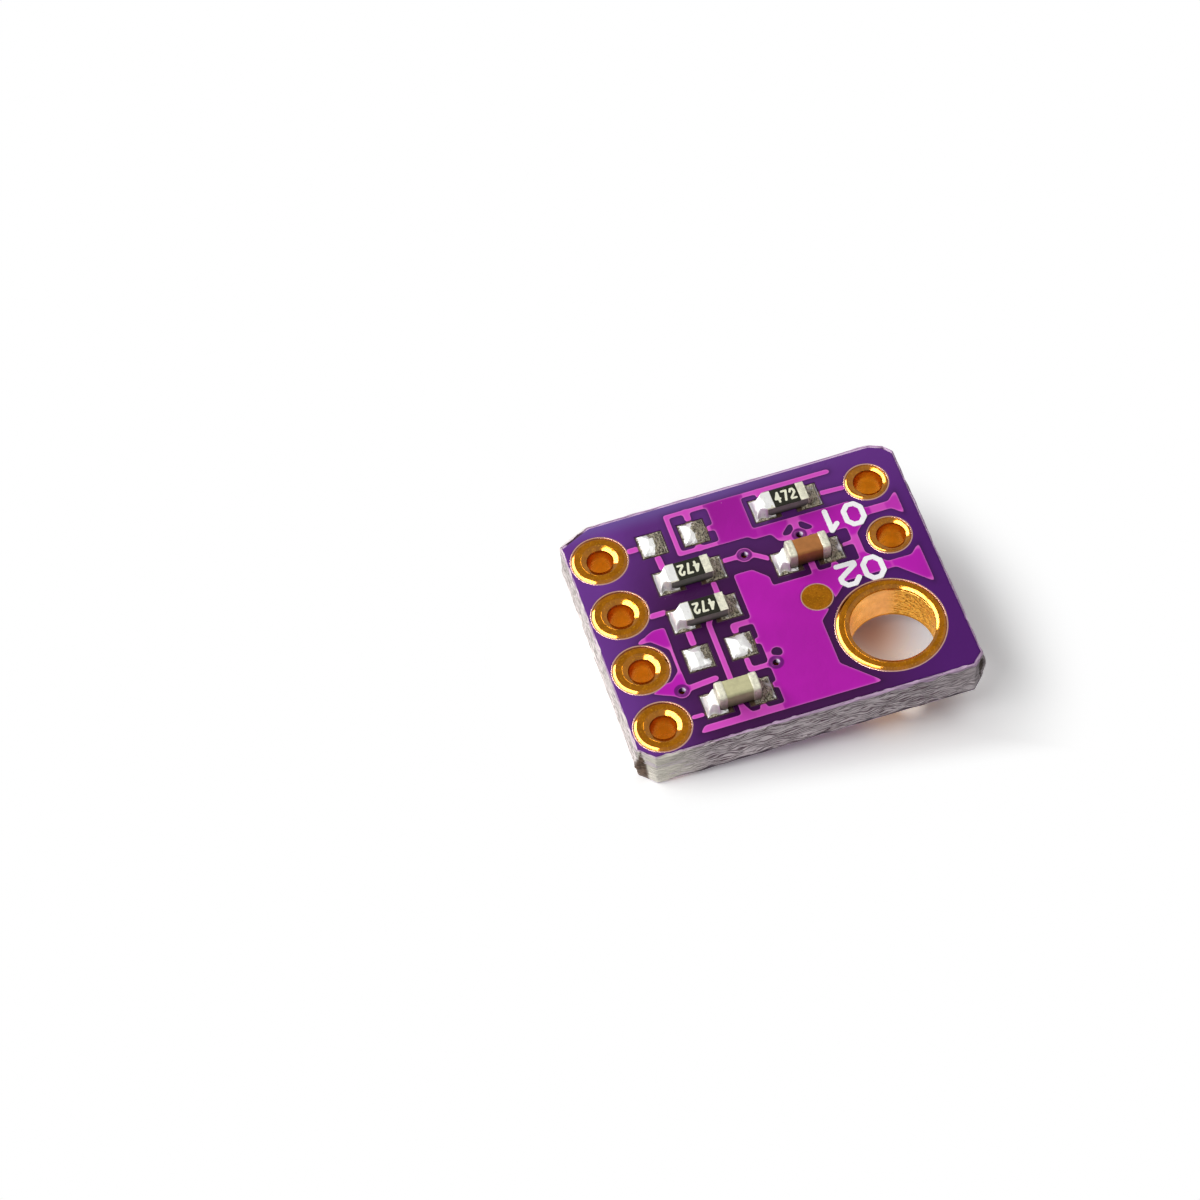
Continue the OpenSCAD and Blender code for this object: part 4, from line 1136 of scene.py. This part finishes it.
class MODULE_OT_solder(bpy.types.Operator):
    """Set the solder on the empty pads and at the ends of the chip parts"""

    bl_idname = "sensor_module.solder"
    bl_label = "Solder"

    def execute(self, context):
        finish = solder_finish(context.scene.metal_style)
        for i, bright in enumerate((0.0, 0.05, 0.55, 0.5), 1):
            node = f"solder_bead_{i}"
            *shape, dull_and_shaded = bead(*box_mm(node), 10 + i, bright)
            piece(f"{node}_lump", *shape, finish, "solder", [node], crease=75, values={"dull_and_shaded": dull_and_shaded})
        for number, chip in enumerate((*RESISTORS, *CAPACITORS)):
            node = f"{chip}_solder"
            body, points = box_mm(f"{chip}_ends"), welded(node)[0]
            middle, rise = (body[0][0] + body[1][0]) / 2, 1.1 * np.ptp(points[:, 2])
            lumps = []
            for side in (-1, 1):
                pad = points[(points[:, 0] - middle) * side > 0]
                corners = pad.min(axis=0), pad.max(axis=0)
                lumps.append(joint(body, corners, side, 20 + 2 * number + side, rise))
            dull_and_shaded = np.concatenate([made[2] for made in lumps])
            piece(f"{chip}_joints", *joined([made[:2] for made in lumps]), finish, "solder", [node],
                  crease=75, values={"dull_and_shaded": dull_and_shaded})
        dress("sensor_solder", finish)
        return {"FINISHED"}


class MODULE_OT_chips(bpy.types.Operator):
    """Dress the chip resistors and capacitors"""

    bl_idname = "sensor_module.chips"
    bl_label = "Chip parts"

    def execute(self, context):
        style = context.scene.metal_style
        core = ceramic_finish("alumina", (0.27, 0.265, 0.235), sheen=0.2, shade_heights=(1.66, 1.95))
        glaze = ceramic_finish("dark_glaze", (0.022, 0.022, 0.014), rough=0.3, sheen=0.15)
        low_tin = tinned_finish("tinned_metal", style, (1.7, 2.1))
        for chip in RESISTORS:
            dress(f"{chip}_core", core, 0.02)
            dress(f"{chip}_glaze", glaze, 0.012)
            dress(f"{chip}_ends", low_tin, 0.012)
        tall_tin = tinned_finish("tall_tinned_metal", style, (1.75, 2.4))
        brown = ceramic_finish("brown_ceramic", (0.44, 0.17, 0.045), shade_heights=(1.75, 2.45))
        cream = ceramic_finish("cream_ceramic", (0.60, 0.57, 0.33), shade_heights=(1.7, 2.3))
        cap_length = 0.34
        for chip, finish in zip(CAPACITORS, (brown, cream)):
            dress(f"{chip}_body", finish)
            low, high = box_mm(f"{chip}_ends")
            inset = np.array([high[0] - low[0] - cap_length, 0, 0])
            caps = [rounded_block(low, high - inset), rounded_block(low + inset, high)]
            piece(f"{chip}_caps", *joined(caps), tall_tin, "tinned_ends", [f"{chip}_ends"], crease=75)
        return {"FINISHED"}


class MODULE_OT_sensor(bpy.types.Operator):
    """Dress the sensing element under the board"""

    bl_idname = "sensor_module.sensor"
    bl_label = "Sensor"

    def execute(self, context):
        style = context.scene.metal_style
        dress("sensor_body", ceramic_finish("black_moulding", (0.03, 0.03, 0.032), lift=0.02), 0.03)
        dress("sensor_die", ceramic_finish("sensing_film", (0.05, 0.12, 0.09), rough=0.2, sheen=0.6))
        dress("sensor_contacts", gold_finish("contact_gold", style, style.gold), 0.01)
        return {"FINISHED"}


class MODULE_OT_marks(bpy.types.Operator):
    """Print the plain figures on the board and on the resistors"""

    bl_idname = "sensor_module.marks"
    bl_label = "Printed marks"

    def execute(self, context):
        ink = ceramic_finish("white_ink", (1.0, 0.99, 1.0), low=0.95, rough=0.6)
        pale_ink = ceramic_finish("pale_ink", (0.88, 0.87, 0.68), low=0.9, rough=0.6)
        top = box_mm("laminate")[1][2]
        for name, (text, centre) in LABELS.items():
            shape = printed(
                text, centre, size=(0.85, 1.1), gap=0.1, stroke=0.2, floor=top + 0.04, top=top + 0.078)
            piece(name, *shape, ink, "alumina", crease=30)
        for chip, (text, upside_down) in RESISTORS.items():
            low, high = box_mm(f"{chip}_glaze")
            centre, top = (low + high)[:2] / 2, high[2]
            shape = printed(
                text, centre, size=(0.25, 0.51), gap=0.04, stroke=0.09, floor=top - 0.004,
                top=top + 0.006, upside_down=upside_down)
            piece(f"{chip}_figures", *shape, pale_ink, "alumina", crease=30)
        return {"FINISHED"}


class MODULE_OT_stage(bpy.types.Operator):
    """Set the floor, the room light, the strip lamps and the camera"""

    bl_idname = "sensor_module.stage"
    bl_label = "Stage"

    def execute(self, context):
        scene, style = context.scene, context.scene.stage_style
        self.floor(scene)
        scene.world = room_light(style.sky)
        for name, (way, along, size, share) in LAMPS.items():
            strip_lamp(name, way, along, size, share * style.lamp)
        self.camera(scene, style.lens)
        scene.view_settings.view_transform = "Standard"
        return {"FINISHED"}

    def floor(self, scene):
        radii, turns = [1, 12, 25, 60, 150, 400, 900], 64
        points = turned(radii, [0] * len(radii), turns, MIDDLE[:2])
        points[:, 2] = -FLOOR_SLOPE * (points[:, 0] - LEFT_END)
        faces = net(len(radii), turns, False, True)[:, ::-1].tolist() + [tuple(range(turns))]
        mesh = bpy.data.meshes.new("floor")
        mesh.from_pydata((points * MM).tolist(), [], faces)
        floor = bpy.data.objects.new("floor", mesh)
        scene.collection.objects.link(floor)
        mesh.materials.append(paper_finish())
        floor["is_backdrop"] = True

    def camera(self, scene, focal_length):
        lens = bpy.data.cameras.new("camera")
        lens.lens, lens.sensor_width = focal_length, 36
        lens.clip_start, lens.clip_end = 0.001, 10
        camera = bpy.data.objects.new("camera", lens)
        camera.location = CAMERA_AT * MM
        camera.rotation_mode = "QUATERNION"
        roll = Quaternion((0, 0, 1), CAMERA_ROLL)
        camera.rotation_quaternion = (CAMERA_AIM - CAMERA_AT).to_track_quat("-Z", "Y") @ roll
        scene.collection.objects.link(camera)
        scene.camera = camera


STYLES = {
    "board_style": BoardStyle,
    "lacquer_style": LacquerStyle,
    "metal_style": MetalStyle,
    "stage_style": StageStyle,
}
STEPS = (
    MODULE_OT_laminate, MODULE_OT_foil, MODULE_OT_lacquer, MODULE_OT_plating, MODULE_OT_solder,
    MODULE_OT_chips, MODULE_OT_sensor, MODULE_OT_marks, MODULE_OT_stage,
)


class MODULE_PT_panel(bpy.types.Panel):
    bl_label = "Sensor Module"
    bl_idname = "MODULE_PT_panel"
    bl_space_type = "VIEW_3D"
    bl_region_type = "UI"
    bl_category = "Sensor Module"

    def draw(self, context):
        for key in STYLES:
            style = getattr(context.scene, key)
            box = self.layout.box()
            for prop in style.bl_rna.properties:
                if prop.identifier not in ("rna_type", "name"):
                    box.prop(style, prop.identifier)
        for step in STEPS:
            self.layout.operator(step.bl_idname)


CLASSES = (*STYLES.values(), *STEPS, MODULE_PT_panel)


def register():
    for made in CLASSES:
        bpy.utils.register_class(made)
    for key, style in STYLES.items():
        setattr(bpy.types.Scene, key, PointerProperty(type=style))


def unregister():
    for key in STYLES:
        delattr(bpy.types.Scene, key)
    for made in reversed(CLASSES):
        bpy.utils.unregister_class(made)


def main():
    register()
    for step in STEPS:
        group, name = step.bl_idname.split(".")
        getattr(getattr(bpy.ops, group), name)()
    sizes = {"cad": CAD_BOX, "visual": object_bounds()}
    {key: [list(corner) for corner in box] for key, box in sizes.items()}


if __name__ == "__main__":
    main()
